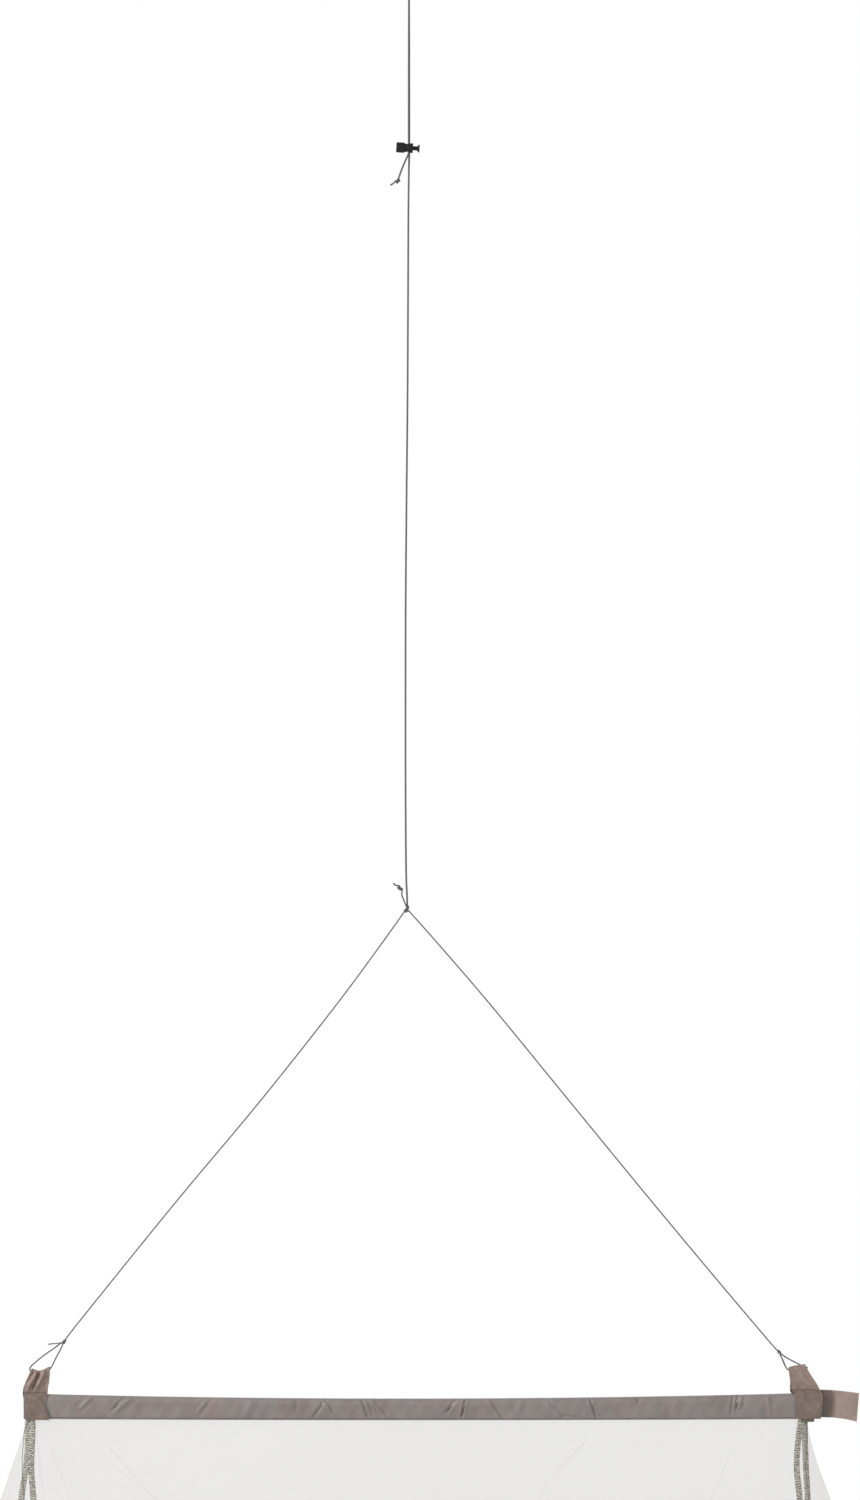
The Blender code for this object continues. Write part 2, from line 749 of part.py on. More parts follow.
def tab_profile(share):
    """Drop and depth (- in front, + behind) at a share of the way over a tab's fold."""
    end_drop = TAB_LEGS[-1][0]
    if share < LEG_SHARE or share > 1 - LEG_SHARE:
        away = min(share, 1 - share)
        drop = end_drop + (TAB_FOLD_RADIUS - end_drop) * away / LEG_SHARE
        legs = ((TAB_FOLD_RADIUS, TAB_FOLD_RADIUS),) + TAB_LEGS
        half = between(legs, drop, 1)
        return drop, -half if share < LEG_SHARE else half
    angle = math.pi * (share - LEG_SHARE) / (1 - 2 * LEG_SHARE)
    return TAB_FOLD_RADIUS * (1 - math.sin(angle)), -TAB_FOLD_RADIUS * math.cos(angle)


def tab_rows():
    """Shares at which a tab's rows lie: its legs' table and an even fold."""
    end_drop = TAB_LEGS[-1][0]
    leg_drops = [drop for drop, _ in TAB_LEGS[::-1]]
    front = [LEG_SHARE * (drop - end_drop) / (TAB_FOLD_RADIUS - end_drop) for drop in leg_drops]
    fold = [LEG_SHARE + (1 - 2 * LEG_SHARE) * step / 6 for step in range(7)]
    return front + fold + [1 - share for share in front[::-1]]


def tab_top(tops, u):
    """The level of a tab's folded top edge, a soft dip between its two corners."""
    return smoothly(((0.0, tops[0]), (TOP_BEND, tops[1]), (1.0, tops[2])), u, 1)


def make_tab(name, outline, tops, crumple, finish):
    level = sum(tops) / len(tops)

    def surface(u, v):
        drop, y = tab_profile(v)
        left = smoothly(outline, drop, 1)
        right = smoothly(outline, drop, 2)
        x = left + (right - left) * u
        if y > 0:
            parted = (drop - BACK_LEG_PARTS) / (BACK_LEG_PARTED - BACK_LEG_PARTS)
            x += BACK_LEG_SHIFT * min(1.0, max(0.0, parted))
        top = tab_top(tops, u)
        z = top + (level - top) * min(1.0, drop / TOP_SETTLED) - drop
        crumpled = max(0.0, 1 - abs(drop - CRUMPLE_MIDDLE) / CRUMPLE_REACH)
        wave = 0.5 - 0.5 * math.cos(2 * math.pi * CRUMPLES * u)
        y += math.copysign(crumple * crumpled * wave, y)
        return Vector((x, y, z))

    columns = [index / TAB_COLUMNS for index in range(TAB_COLUMNS + 1)]
    return sheet(name, finish, surface, columns, tab_rows(), lambda v: WEBBING)


def make_flap(name, end, bulge, y_start, finish):
    def surface(u, v):
        x = FLAP_START + (end - FLAP_START) * u
        out = (x - FLAP_START) / (FLAP_END - FLAP_START)
        top = FLAP_TOP - FLAP_TOP_FALL * out**1.7
        bottom = FLAP_BOTTOM - FLAP_BOTTOM_FALL * out**2
        y = y_start + FLAP_LEAN * out * out * (1 - 0.6 * v)
        x += bulge * math.sin(math.pi * v) * u - FLAP_SLANT * v * out * u
        return Vector((x, y, top + (bottom - top) * v))

    columns = [index / 8 for index in range(9)]
    rows = [index / 4 for index in range(5)]
    return sheet(name, finish, surface, columns, rows, lambda v: FLAP_THICKNESS)


# Net


def net_top(x):
    return sleeve_bottom(min(max(x, SLEEVE_LEFT), SLEEVE_RIGHT)) - CLEARANCE


HEM_Z = SLEEVE_BOTTOM - NET_DROP


def half_depth(drop):
    """How far the front and back lie from the middle of the canopy."""
    return TOP_HALF_DEPTH + DEPTH_SLOPE * drop


def seam_x(name, drop):
    top, settled, hem = SEAMS[name]
    quick = (settled - top) * (1 - math.exp(-drop / SEAM_SETTLE))
    return top + quick + (hem - settled) * drop / NET_DROP


def flutes(u, drop, count, shift):
    """Soft upright folds that deepen from the sleeve to the hem and die out at the seams."""
    grown = (drop / NET_DROP) ** 1.15
    uneven = u + 0.035 * math.sin(2 * math.pi * (u + shift)) + 0.015 * math.sin(6 * math.pi * u + shift)
    wave = math.sin(2 * math.pi * (count * uneven + shift))
    strength = 0.72 + 0.28 * math.sin(2 * math.pi * (1.6 * u + shift))
    near_edge = min(1.0, 6 * u, 6 * (1 - u))
    quiet_edge = near_edge * near_edge * (3 - 2 * near_edge)
    return FLUTE_DEPTH * grown * wave * strength * quiet_edge


def net_rows(first_drop):
    """Shares of the drop that the panels, gores and seams have in common, two of them at the hem's fold."""
    hem_fold = NET_DROP - HEM_HEIGHT
    drops = NET_ROW_DROPS + (hem_fold, hem_fold + HEM_STEP, NET_DROP)
    return [drop / NET_DROP for drop in drops if drop >= first_drop]


def net_thickness(v):
    return HEM_THICKNESS if v * NET_DROP > NET_DROP - HEM_HEIGHT + HEM_STEP / 2 else NET_THICKNESS


def make_panel(name, side, shift, finish):
    front = side < 0
    left_seam = "front_left" if front else "back_left"
    right_seam = "front_right" if front else "back_right"
    edge = SEAM_WIDTH / 2 + CLEARANCE

    def surface(u, v):
        drop = v * NET_DROP
        left = seam_x(left_seam, drop) + edge
        right = seam_x(right_seam, drop) - edge
        x = left + (right - left) * u
        top = net_top(x)
        crown = 1 + 0.05 * math.sin(math.pi * u)
        y = side * (half_depth(drop) * crown + flutes(u, drop, PANEL_FLUTES, shift))
        return Vector((x, y, top + (HEM_Z - top) * v))

    columns = [index / PANEL_COLUMNS for index in range(PANEL_COLUMNS + 1)]
    return sheet(name, finish, surface, columns, net_rows(0.0), net_thickness)


def make_gore(name, end, shift, finish):
    side = -1 if end == "left" else 1
    edge = side * (SEAM_WIDTH / 2 + CLEARANCE)

    def surface(u, v):
        drop = v * NET_DROP
        front = seam_x("front_" + end, drop) + edge
        back = seam_x("back_" + end, drop) + edge
        depth = half_depth(drop)
        bulge = GORE_BULGE_START + GORE_SLOPE * (drop - GORE_START)
        turn = math.pi * u
        push = flutes(u, drop, GORE_FLUTES, shift)
        x = front + (back - front) * u + side * (bulge + push) * math.sin(turn)
        y = -(depth + push) * math.cos(turn)
        top = net_top(x)
        return Vector((x, y, top + (HEM_Z - top) * v))

    columns = [index / GORE_COLUMNS for index in range(GORE_COLUMNS + 1)]
    return sheet(name, finish, surface, columns, net_rows(GORE_START), net_thickness)


def make_seam(name, finish):
    side = -1 if name.startswith("front") else 1
    rings = []
    for v in net_rows(0.0):
        drop = v * NET_DROP
        x = seam_x(name, drop)
        y = side * half_depth(drop)
        top = net_top(x)
        z = top + (HEM_Z - top) * v
        half_width, half_thick = SEAM_WIDTH / 2, SEAM_THICKNESS / 2
        corners = ((-1, -0.5), (-0.6, -1), (0.6, -1), (1, -0.5), (1, 0.5), (0.6, 1), (-0.6, 1), (-1, 0.5))
        rings.append([Vector((x + a * half_width, y + b * half_thick, z)) for a, b in corners])
    return object_from_faces("seam_" + name, lambda bm: skin(bm, rings), finish)


def main():
    clear_scene()
    cord_grey = material("braided_polyester_cord", (0.075, 0.075, 0.075), 0.75)
    black_plastic = material("moulded_black_plastic", (0.016, 0.016, 0.017), 0.42)
    webbing = material("woven_taupe_webbing", (0.26, 0.19, 0.155), 0.62)
    sleeve_cloth = material("grey_polyester_cloth", (0.28, 0.235, 0.22), 0.70)
    fibreglass = material("fibreglass_rod", (0.30, 0.30, 0.28), 0.45)
    netting = material("fine_polyester_net", (0.62, 0.61, 0.59), 0.85, alpha=0.25)
    binding = material("overlocked_seam", (0.32, 0.30, 0.235), 0.90)

    cord("main_cord", MAIN_ROUTE, MAIN_DIAMETER, cord_grey)
    cord("bridle_cord", BRIDLE_ROUTE, BRIDLE_DIAMETER, cord_grey)
    make_knots(cord_grey)
    make_lock(black_plastic)
    make_sleeve(sleeve_cloth)
    make_rod(fibreglass)
    make_tab("tab_left", LEFT_TAB_OUTLINE, LEFT_TAB_TOP, LEFT_CRUMPLE, webbing)
    make_tab("tab_right", RIGHT_TAB_OUTLINE, RIGHT_TAB_TOP, RIGHT_CRUMPLE, webbing)
    make_flap("flap", FLAP_END, 0.0, FLAP_Y, webbing)
    make_flap("flap_stub", FLAP_STUB_END, STUB_BULGE, FLAP_Y - FLAP_THICKNESS - CLEARANCE, webbing)
    make_panel("net_front", -1, 0.10, netting)
    make_panel("net_back", 1, 0.45, netting)
    make_gore("net_end_left", "left", 0.20, netting)
    make_gore("net_end_right", "right", 0.65, netting)
    for name in SEAMS:
        make_seam(name, binding)


main()
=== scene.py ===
import math

import bmesh
import bpy
import numpy as np
from mathutils import Euler, Matrix, Vector


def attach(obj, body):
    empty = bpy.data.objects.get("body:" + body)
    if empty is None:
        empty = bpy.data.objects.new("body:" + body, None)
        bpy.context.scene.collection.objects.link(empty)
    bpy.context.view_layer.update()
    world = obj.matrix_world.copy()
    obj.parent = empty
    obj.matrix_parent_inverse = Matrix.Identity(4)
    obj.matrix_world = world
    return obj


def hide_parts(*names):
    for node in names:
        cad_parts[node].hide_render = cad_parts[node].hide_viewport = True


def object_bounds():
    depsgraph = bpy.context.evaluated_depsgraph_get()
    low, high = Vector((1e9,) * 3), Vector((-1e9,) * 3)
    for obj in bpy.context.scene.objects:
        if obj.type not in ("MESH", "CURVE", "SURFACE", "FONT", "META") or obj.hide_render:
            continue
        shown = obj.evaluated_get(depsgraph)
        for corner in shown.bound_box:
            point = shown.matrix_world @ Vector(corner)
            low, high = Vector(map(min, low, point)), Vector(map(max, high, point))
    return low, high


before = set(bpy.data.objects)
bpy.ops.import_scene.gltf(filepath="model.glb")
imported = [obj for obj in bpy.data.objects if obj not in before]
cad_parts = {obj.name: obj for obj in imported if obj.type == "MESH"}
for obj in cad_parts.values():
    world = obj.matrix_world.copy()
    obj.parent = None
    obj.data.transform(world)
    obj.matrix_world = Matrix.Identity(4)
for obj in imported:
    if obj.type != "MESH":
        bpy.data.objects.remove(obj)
cad_low, cad_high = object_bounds()


# Studio
# A level camera square on to the spreader bar, as in the photograph. An even white surround and three large
# soft lamps light the canopy, and a pale floor lies just under its hem. Every size here is in metres.

VIEW_CENTRE = Vector((0.01995, 0.0, -0.7405))
VIEW_HEIGHT = 1.425
VIEW_DISTANCE = 6.0
FLOOR_DROP = 0.012
FLOOR_REACH = 11.0
SURROUND_LIGHT = 0.50
SURROUND_SEEN = 1.0
LAMP_AIM = Vector((0.0, 0.0, -1.3))
LAMPS = (
    # name, place, width, watts
    ("key_lamp", (-3.4, -2.2, 0.9), 1.6, 150.0),
    ("fill_lamp", (2.6, -3.4, -0.6), 2.6, 32.0),
    ("back_lamp", (0.6, 3.4, 0.6), 2.4, 40.0),
)


def linear(hex_colour):
    """An sRGB hex colour as linear red, green, blue and alpha."""
    channels = [int(hex_colour[place:place + 2], 16) / 255 for place in (1, 3, 5)]
    return (*[c / 12.92 if c <= 0.04045 else ((c + 0.055) / 1.055) ** 2.4 for c in channels], 1.0)


def set_inputs(tree, node, inputs):
    """Gives each named input of a node a value or another node's output."""
    for key, value in inputs.items():
        if isinstance(value, bpy.types.NodeSocket):
            tree.links.new(value, node.inputs[key])
        else:
            node.inputs[key].default_value = value


def add_node(tree, kind, inputs=None, **settings):
    """One node with its settings. Each input gets a value or another node's output."""
    made = tree.nodes.new(kind)
    for name, value in settings.items():
        setattr(made, name, value)
    set_inputs(tree, made, inputs or {})
    return made


def new_material(name):
    """A material with its node tree and its one shader."""
    made = bpy.data.materials.new(name)
    made.use_nodes = True
    return made, made.node_tree, made.node_tree.nodes["Principled BSDF"]


def add_object(name, data):
    """An object with this data, put into the scene at the origin."""
    made = bpy.data.objects.new(name, data)
    bpy.context.scene.collection.objects.link(made)
    return made


camera_data = bpy.data.cameras.new("camera")
camera_data.sensor_width = 36.0
camera_data.lens = camera_data.sensor_width * VIEW_DISTANCE / VIEW_HEIGHT
camera_data.clip_end = 100.0
camera = add_object("camera", camera_data)
camera.location = VIEW_CENTRE - Vector((0.0, VIEW_DISTANCE, 0.0))
camera.rotation_euler = (math.pi / 2, 0.0, 0.0)
bpy.context.scene.camera = camera
bpy.context.scene.view_settings.view_transform = "Standard"

surround = bpy.data.worlds.new("white_surround")
surround.use_nodes = True
bpy.context.scene.world = surround
tree = surround.node_tree
tree.nodes.clear()
lighting = add_node(tree, "ShaderNodeBackground", {"Color": linear("#FFFFFF"), "Strength": SURROUND_LIGHT})
seen = add_node(tree, "ShaderNodeBackground", {"Color": linear("#FFFFFF"), "Strength": SURROUND_SEEN})
rays = add_node(tree, "ShaderNodeLightPath")
either = add_node(tree, "ShaderNodeMixShader", {
    0: rays.outputs["Is Camera Ray"], 1: lighting.outputs[0], 2: seen.outputs[0],
})
add_node(tree, "ShaderNodeOutputWorld", {"Surface": either.outputs[0]})

for name, place, size, watts in LAMPS:
    lamp = bpy.data.lights.new(name, "AREA")
    lamp.shape = "DISK"
    lamp.size = size
    lamp.energy = watts
    lamp_object = add_object(name, lamp)
    lamp_object.location = place
    lamp_object.rotation_euler = (LAMP_AIM - Vector(place)).to_track_quat("-Z", "Y").to_euler()

# Matt studio paint: a plain pale floor with hardly any change of tone.
matt_white, tree, shader = new_material("matt_studio_paint")
grain = add_node(tree, "ShaderNodeTexNoise", {"Scale": 6.0, "Detail": 3.0})
tint = add_node(tree, "ShaderNodeMix", {
    0: grain.outputs[0], 6: linear("#F4F3F1"), 7: linear("#F0EFED"),
}, data_type="RGBA")
set_inputs(tree, shader, {"Base Color": tint.outputs[2], "Roughness": 0.9})

bm = bmesh.new()
bmesh.ops.create_circle(bm, cap_ends=True, segments=96, radius=FLOOR_REACH)
mesh = bpy.data.meshes.new("floor")
bm.to_mesh(mesh)
bm.free()
mesh.transform(Matrix.Translation((0.0, 0.0, cad_low.z - FLOOR_DROP)))
mesh.materials.append(matt_white)
floor = add_object("floor", mesh)


# Hanging cord
# One length of fine braided polyester cord, dark grey. It is tied to the bridle, runs up through the lock,
# over the hook and back down through the lock, and ends in a stopper knot with a short free end.

MAIN_CORD = 0.0018
CORD_SIDES = 16
CORD_STEP = 0.0006
BRAID_RELIEF = 0.014
BRAID_LAY = 1.4
BRAID_CARRIERS = 4
MELTED_END = (0.93, 0.66)
CORD_MOTTLE_PER_METRE = 900.0
MAIN_ROUTE = (
    (-0.00175, 0.00000, -0.8925),
    (-0.00150, 0.00000, -0.8895),
    (-0.00168, 0.00000, -0.8858),
    (-0.00190, 0.00000, -0.8782),
    (-0.00256, 0.00000, -0.8640),
    (-0.00323, 0.00000, -0.7880),
    (-0.00332, 0.00000, -0.6930),
    (-0.00314, 0.00000, -0.5980),
    (-0.00237, 0.00000, -0.5030),
    (-0.00142, 0.00000, -0.4080),
    (-0.00095, 0.00020, -0.3130),
    (-0.00047, 0.00060, -0.2180),
    (0.00010, 0.00100, -0.1800),
    (0.00030, 0.00105, -0.1740),
    (0.00030, 0.00105, -0.1640),
    (0.00030, 0.00140, -0.1400),
    (0.00020, 0.00330, -0.0700),
    (0.00000, 0.00540, -0.0120),
    (0.00000, 0.00550, -0.0046),
    (0.00000, 0.00389, -0.0007),
    (0.00000, 0.00000, 0.0009),
    (0.00000, -0.00389, -0.0007),
    (0.00000, -0.00550, -0.0046),
    (0.00000, -0.00540, -0.0120),
    (-0.00020, -0.00330, -0.0700),
    (-0.00030, -0.00140, -0.1400),
    (-0.00030, -0.00105, -0.1640),
    (-0.00030, -0.00110, -0.1732),
    (-0.00133, -0.00140, -0.1762),
    (-0.00332, -0.00160, -0.1806),
    (-0.00713, -0.00160, -0.1897),
    (-0.00935, -0.00140, -0.1959),
    (-0.00975, -0.00130, -0.1973),
)


def run_along(line):
    """How far along a line of points each of them is."""
    return np.concatenate(([0.0], np.cumsum(np.linalg.norm(np.diff(line, axis=0), axis=1))))


def smooth_line(route, spacing):
    """Evenly spaced points on one smooth curve (centripetal Catmull-Rom) through a route."""
    points = [Vector(point) for point in route]
    points = [2 * points[0] - points[1], *points, 2 * points[-1] - points[-2]]
    line = []
    for four in zip(points, points[1:], points[2:], points[3:]):
        times = [0.0]
        for one, two in zip(four, four[1:]):
            times.append(times[-1] + math.sqrt((two - one).length))
        steps = max(4, round((four[2] - four[1]).length / spacing))
        for step in range(steps):
            time = times[1] + (times[2] - times[1]) * step / steps
            level = list(four)
            for first, last in ((0, 1), (0, 2), (1, 2)):
                level = [
                    one.lerp(two, (time - times[k + first]) / (times[k + last] - times[k + first]))
                    for k, (one, two) in enumerate(zip(level, level[1:]))
                ]
            line.append(level[0])
    line = np.array([*line, points[-2]])
    run = run_along(line)
    even = np.linspace(0.0, run[-1], max(2, round(run[-1] / spacing)) + 1)
    return np.stack([np.interp(even, run, line[:, axis]) for axis in range(3)], axis=1)


def line_length(line):
    """The length of a line of points."""
    return float(np.linalg.norm(np.diff(line, axis=0), axis=1).sum())


def turning_frames(line):
    """Two directions across a line at each of its points, carried along it without twisting."""
    ahead = np.gradient(line, axis=0)
    ahead /= np.linalg.norm(ahead, axis=1)[:, None]
    across = np.zeros_like(ahead)
    side = np.cross(ahead[0], (0.0, 1.0, 0.0))
    if np.linalg.norm(side) < 0.3:
        side = np.cross(ahead[0], (1.0, 0.0, 0.0))
    for index, forward in enumerate(ahead):
        side = side - forward * np.dot(side, forward)
        side /= np.linalg.norm(side)
        across[index] = side
    return across, np.cross(ahead, across)


def mesh_of_grid(name, grid, wrap, uv, caps=False):
    """A mesh over rows of points. wrap joins each row's end to its start, and caps close the end rows."""
    rows, columns = grid.shape[:2]
    number = np.arange(rows * columns).reshape(rows, columns)
    faces, corners = [], []
    for row in range(rows - 1):
        for column in range(columns if wrap else columns - 1):
            spots = ((row, column), (row, column + 1), (row + 1, column + 1), (row + 1, column))
            faces.append([number[r, c % columns] for r, c in spots])
            corners.append(spots)
    if caps:
        faces.append(tuple(number[0, ::-1]))
        faces.append(tuple(number[-1]))
        corners.append([(0, column) for column in range(columns)][::-1])
        corners.append([(rows - 1, column) for column in range(columns)])
    mesh = bpy.data.meshes.new(name)
    mesh.from_pydata(grid.reshape(-1, 3).tolist(), [], faces)
    layer = mesh.uv_layers.new(name="cloth_run")
    flat = [uv(row, column) for face in corners for row, column in face]
    layer.data.foreach_set("uv", np.array(flat, dtype=np.float32).ravel())
    mesh.shade_smooth()
    return mesh


def cord_mesh(name, line, diameter, squeeze=None, free_end=False):
    """A braided cord along a line: a tube with low diamond relief. A free end is melted blunt."""
    across, over = turning_frames(line)
    run = run_along(line)
    lay = run / (BRAID_LAY * diameter)
    angle = 2 * math.pi * np.arange(CORD_SIDES)[None, :] / CORD_SIDES
    diamonds = np.cos(BRAID_CARRIERS * angle) * np.cos(2 * math.pi * lay[:, None])
    radius = diameter / 2 * (np.ones(len(line)) if squeeze is None else squeeze)
    radius = radius[:, None] * (1 - BRAID_RELIEF + BRAID_RELIEF * diamonds)
    if free_end:
        radius[-2:] *= np.array(MELTED_END)[:, None]
    grid = line[:, None, :] + radius[..., None] * (
        np.cos(angle)[..., None] * across[:, None, :] + np.sin(angle)[..., None] * over[:, None, :]
    )
    return mesh_of_grid(
        name, grid, True, lambda row, column: (lay[row], BRAID_CARRIERS * column / CORD_SIDES), caps=True
    )


# Braided polyester: dark yarns, each crossing painted lighter as a highlight and the gaps painted darker as
# shadow, mottled at random. Real braid of this size has 16 carriers, too fine to show here, so four are
# drawn.
braided_cord, tree, shader = new_material("braided_polyester_cord")
place = add_node(tree, "ShaderNodeUVMap", uv_map="cloth_run")
parts = add_node(tree, "ShaderNodeSeparateXYZ", {0: place.outputs[0]})
waves = []
for sign in (1, -1):
    turn = add_node(tree, "ShaderNodeMath", {
        0: parts.outputs[1], 1: sign, 2: parts.outputs[0],
    }, operation="MULTIPLY_ADD")
    angle = add_node(tree, "ShaderNodeMath", {0: turn.outputs[0], 1: 2 * math.pi}, operation="MULTIPLY")
    waves.append(add_node(tree, "ShaderNodeMath", {0: angle.outputs[0]}, operation="COSINE"))
crossing = add_node(tree, "ShaderNodeMath", {
    0: waves[0].outputs[0], 1: waves[1].outputs[0],
}, operation="MULTIPLY")
height = add_node(tree, "ShaderNodeMapRange", {
    0: crossing.outputs[0], 1: -0.90, 2: 0.05,
}, interpolation_type="SMOOTHSTEP")
solid = add_node(tree, "ShaderNodeTexCoord")
mottle = add_node(tree, "ShaderNodeTexNoise", {
    "Vector": solid.outputs["Object"], "Scale": CORD_MOTTLE_PER_METRE, "Detail": 2.0,
})
# Painted highlight and shadow: the crossings, mottled at random, mix the dark yarn toward a light grey.
mottled_shading = add_node(tree, "ShaderNodeMath", {0: height.outputs[0], 1: mottle.outputs[0]}, operation="MULTIPLY")
yarn = add_node(tree, "ShaderNodeMix", {
    0: mottled_shading.outputs[0], 6: linear("#232324"), 7: linear("#88888B"),
}, data_type="RGBA")
relief = add_node(tree, "ShaderNodeBump", {"Height": height.outputs[0], "Strength": 0.5, "Distance": 0.0002})
set_inputs(tree, shader, {
    "Base Color": yarn.outputs[2], "Normal": relief.outputs[0], "Roughness": 0.62, "Sheen Weight": 0.15,
})


def finish_piece(piece, material, slot_name, *nodes, body="canopy"):
    """Gives a piece its material and its body, and hides the solids that it stands for. Its slot is not used.
    """
    piece.data.materials.clear()
    piece.data.materials.append(material)
    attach(piece, body)
    if nodes:
        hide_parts(*nodes)
    return piece


main_line = smooth_line(MAIN_ROUTE, CORD_STEP)
hanging_cord = add_object("hanging_cord", cord_mesh("hanging_cord", main_line, MAIN_CORD))
finish_piece(hanging_cord, braided_cord, "cord", "main_cord")


# Bridle
# One length of thinner cord of the same braid. It is tied in a loop through each tab, and the hanging cord
# is tied to its middle.

BRIDLE_CORD = 0.0013
BRIDLE_ROUTE = (
    (-0.33090, 0.00110, -1.3042),
    (-0.33300, 0.00130, -1.3056),
    (-0.33630, 0.00110, -1.3083),
    (-0.34770, 0.00030, -1.3162),
    (-0.35540, 0.00000, -1.3226),
    (-0.35890, 0.00000, -1.3258),
    (-0.36030, 0.00000, -1.3287),
    (-0.35900, 0.00000, -1.3313),
    (-0.35550, 0.00000, -1.3329),
    (-0.35050, 0.00000, -1.3331),
    (-0.34550, 0.00000, -1.3315),
    (-0.34170, 0.00000, -1.3291),
    (-0.33910, 0.00000, -1.3257),
    (-0.33700, 0.00000, -1.3213),
    (-0.33393, 0.00000, -1.3153),
    (-0.33108, 0.00000, -1.3100),
    (-0.32936, 0.00000, -1.3062),
    (-0.32756, 0.00000, -1.3024),
    (-0.32443, 0.00000, -1.2977),
    (-0.31967, 0.00000, -1.2915),
    (-0.29688, 0.00000, -1.2630),
    (-0.21992, 0.00000, -1.1680),
    (-0.14060, 0.00000, -1.0730),
    (-0.06555, 0.00000, -0.9780),
    (-0.03040, 0.00000, -0.9305),
    (-0.00997, 0.00000, -0.9020),
    (-0.00560, 0.00000, -0.8958),
    (-0.00370, 0.00000, -0.8936),
    (-0.00200, 0.00000, -0.8929),
    (-0.00030, 0.00000, -0.8935),
    (0.00170, 0.00000, -0.8955),
    (0.00760, 0.00000, -0.9020),
    (0.03277, 0.00000, -0.9305),
    (0.07362, 0.00000, -0.9780),
    (0.15152, 0.00000, -1.0730),
    (0.22942, 0.00000, -1.1680),
    (0.30875, 0.00000, -1.2630),
    (0.33297, 0.00000, -1.2915),
    (0.34057, 0.00000, -1.3005),
    (0.34818, 0.00000, -1.3091),
    (0.35140, 0.00000, -1.3124),
    (0.35483, 0.00060, -1.3153),
    (0.36195, 0.00300, -1.3198),
    (0.37050, 0.00470, -1.3243),
    (0.37560, 0.00520, -1.3264),
    (0.37850, 0.00280, -1.3275),
    (0.37700, 0.00010, -1.3283),
    (0.37150, 0.00000, -1.3280),
    (0.36650, 0.00000, -1.3287),
    (0.36150, 0.00000, -1.3296),
    (0.35870, 0.00000, -1.3279),
    (0.35680, 0.00000, -1.3240),
    (0.35470, 0.00040, -1.3190),
    (0.35264, 0.00090, -1.3153),
)

bridle_line = smooth_line(BRIDLE_ROUTE, CORD_STEP)
bridle = add_object("bridle", cord_mesh("bridle", bridle_line, BRIDLE_CORD))
finish_piece(bridle, braided_cord, "cord", "bridle_cord")


# Knots
# The hanging cord is hitched round the bridle's middle, and each bridle end is wrapped round its own standing
# part. Two overhand stoppers keep the hanging cord's ends from slipping. Pulled tight, the cord is thinner.

TIGHT = 0.80
KNOT_STEP = 0.0004
OVERHAND_GAP = 0.68
OVERHAND_POINTS = 19


def turns_round(line, centre, start, end, radius, turns, first_turn):
    """Points of a strand wound round a line, from start to end metres beyond its point nearest the centre."""
    run = run_along(line)
    middle = run[np.argmin(np.linalg.norm(line - np.array(centre), axis=1))]
    count = max(6, round(8 * abs(turns)))
    points = []
    for share in np.linspace(0.0, 1.0, count + 1):
        place = middle + start + (end - start) * share
        core = np.array([np.interp(place, run, line[:, axis]) for axis in range(3)])
        ahead = np.array([np.interp(place + KNOT_STEP, run, line[:, axis]) for axis in range(3)]) - core
        ahead /= np.linalg.norm(ahead)
        over = np.cross(ahead, (0.0, 1.0, 0.0))
        over /= np.linalg.norm(over)
        front = np.cross(ahead, over)
        angle = 2 * math.pi * (first_turn + turns * share)
        points.append(tuple(core + radius * (math.cos(angle) * over + math.sin(angle) * front)))
    return points


def overhand(centre, along, size):
    """Points of an overhand knot in a cord that travels in a direction across the picture.

    It is a trefoil, opened by a gap at each side and led out along the cord.
    """
    along = Vector(along).normalized()
    side = Vector((-along.z, 0.0, along.x))
    near = Vector((0.0, -1.0, 0.0))
    turns = [(-3.4, -1.5, 0.2), (-2.2, -1.7, 0.6)]
    for time in np.linspace(math.pi + OVERHAND_GAP, 3 * math.pi - OVERHAND_GAP, OVERHAND_POINTS):
        across = math.sin(time) + 2 * math.sin(2 * time)
        turns.append((-across, math.cos(time) - 2 * math.cos(2 * time), -math.sin(3 * time)))
    turns += [(2.2, -1.7, -0.6), (3.4, -1.5, -0.2)]
    return [tuple(Vector(centre) + size * (a * along + b * side + c * near)) for a, b, c in turns]


def tie(name, route, diameter, node, loosen_start=0.0, loosen_end=0.0):
    """A knot's strand along a route, squeezed where it is wound and full where it runs free."""
    line = smooth_line(route, KNOT_STEP)
    run = np.linspace(0.0, line_length(line), len(line))
    squeeze = np.full(len(line), TIGHT)
    if loosen_start:
        squeeze += (1 - TIGHT) * np.clip(1 - run / loosen_start, 0.0, 1.0)
    if loosen_end:
        squeeze += (1 - TIGHT) * np.clip(1 - (run[-1] - run) / loosen_end, 0.0, 1.0)
    piece = add_object(name, cord_mesh(name, line, diameter, squeeze, free_end=True))
    return finish_piece(piece, braided_cord, "cord", node)


STANDING_PART = smooth_line((
    (-0.00115, 0.0, -0.8945),
    (-0.00130, 0.0, -0.8925),
    (-0.00150, 0.0, -0.8890),
    (-0.00180, 0.0, -0.8820),
), KNOT_STEP)
middle_knot = tie(
    "middle_knot",
    [
        (-0.00160, 0.0000, -0.8900),
        (-0.00140, -0.0005, -0.8912),
        *turns_round(
            bridle_line, (-0.00200, 0.0, -0.8929),
            start=0.0009, end=-0.0024, radius=0.00116, turns=1.70, first_turn=0.16,
        ),
        *turns_round(
            STANDING_PART, (-0.00150, 0.0, -0.8890),
            start=-0.0022, end=0.0002, radius=0.00108, turns=1.90, first_turn=0.05,
        ),
        (-0.00330, -0.0009, -0.8872),
        (-0.00400, -0.0007, -0.8855),
        (-0.00540, -0.0008, -0.8820),
        (-0.00690, -0.0008, -0.8778),
        *overhand((-0.00870, -0.0008, -0.8716), (-0.72, 0.0, 0.69), size=0.00066),
        (-0.01270, -0.0008, -0.8690),
        (-0.01500, -0.0008, -0.8669),
    ],
    MAIN_CORD, "y_knot", loosen_end=0.004,
)
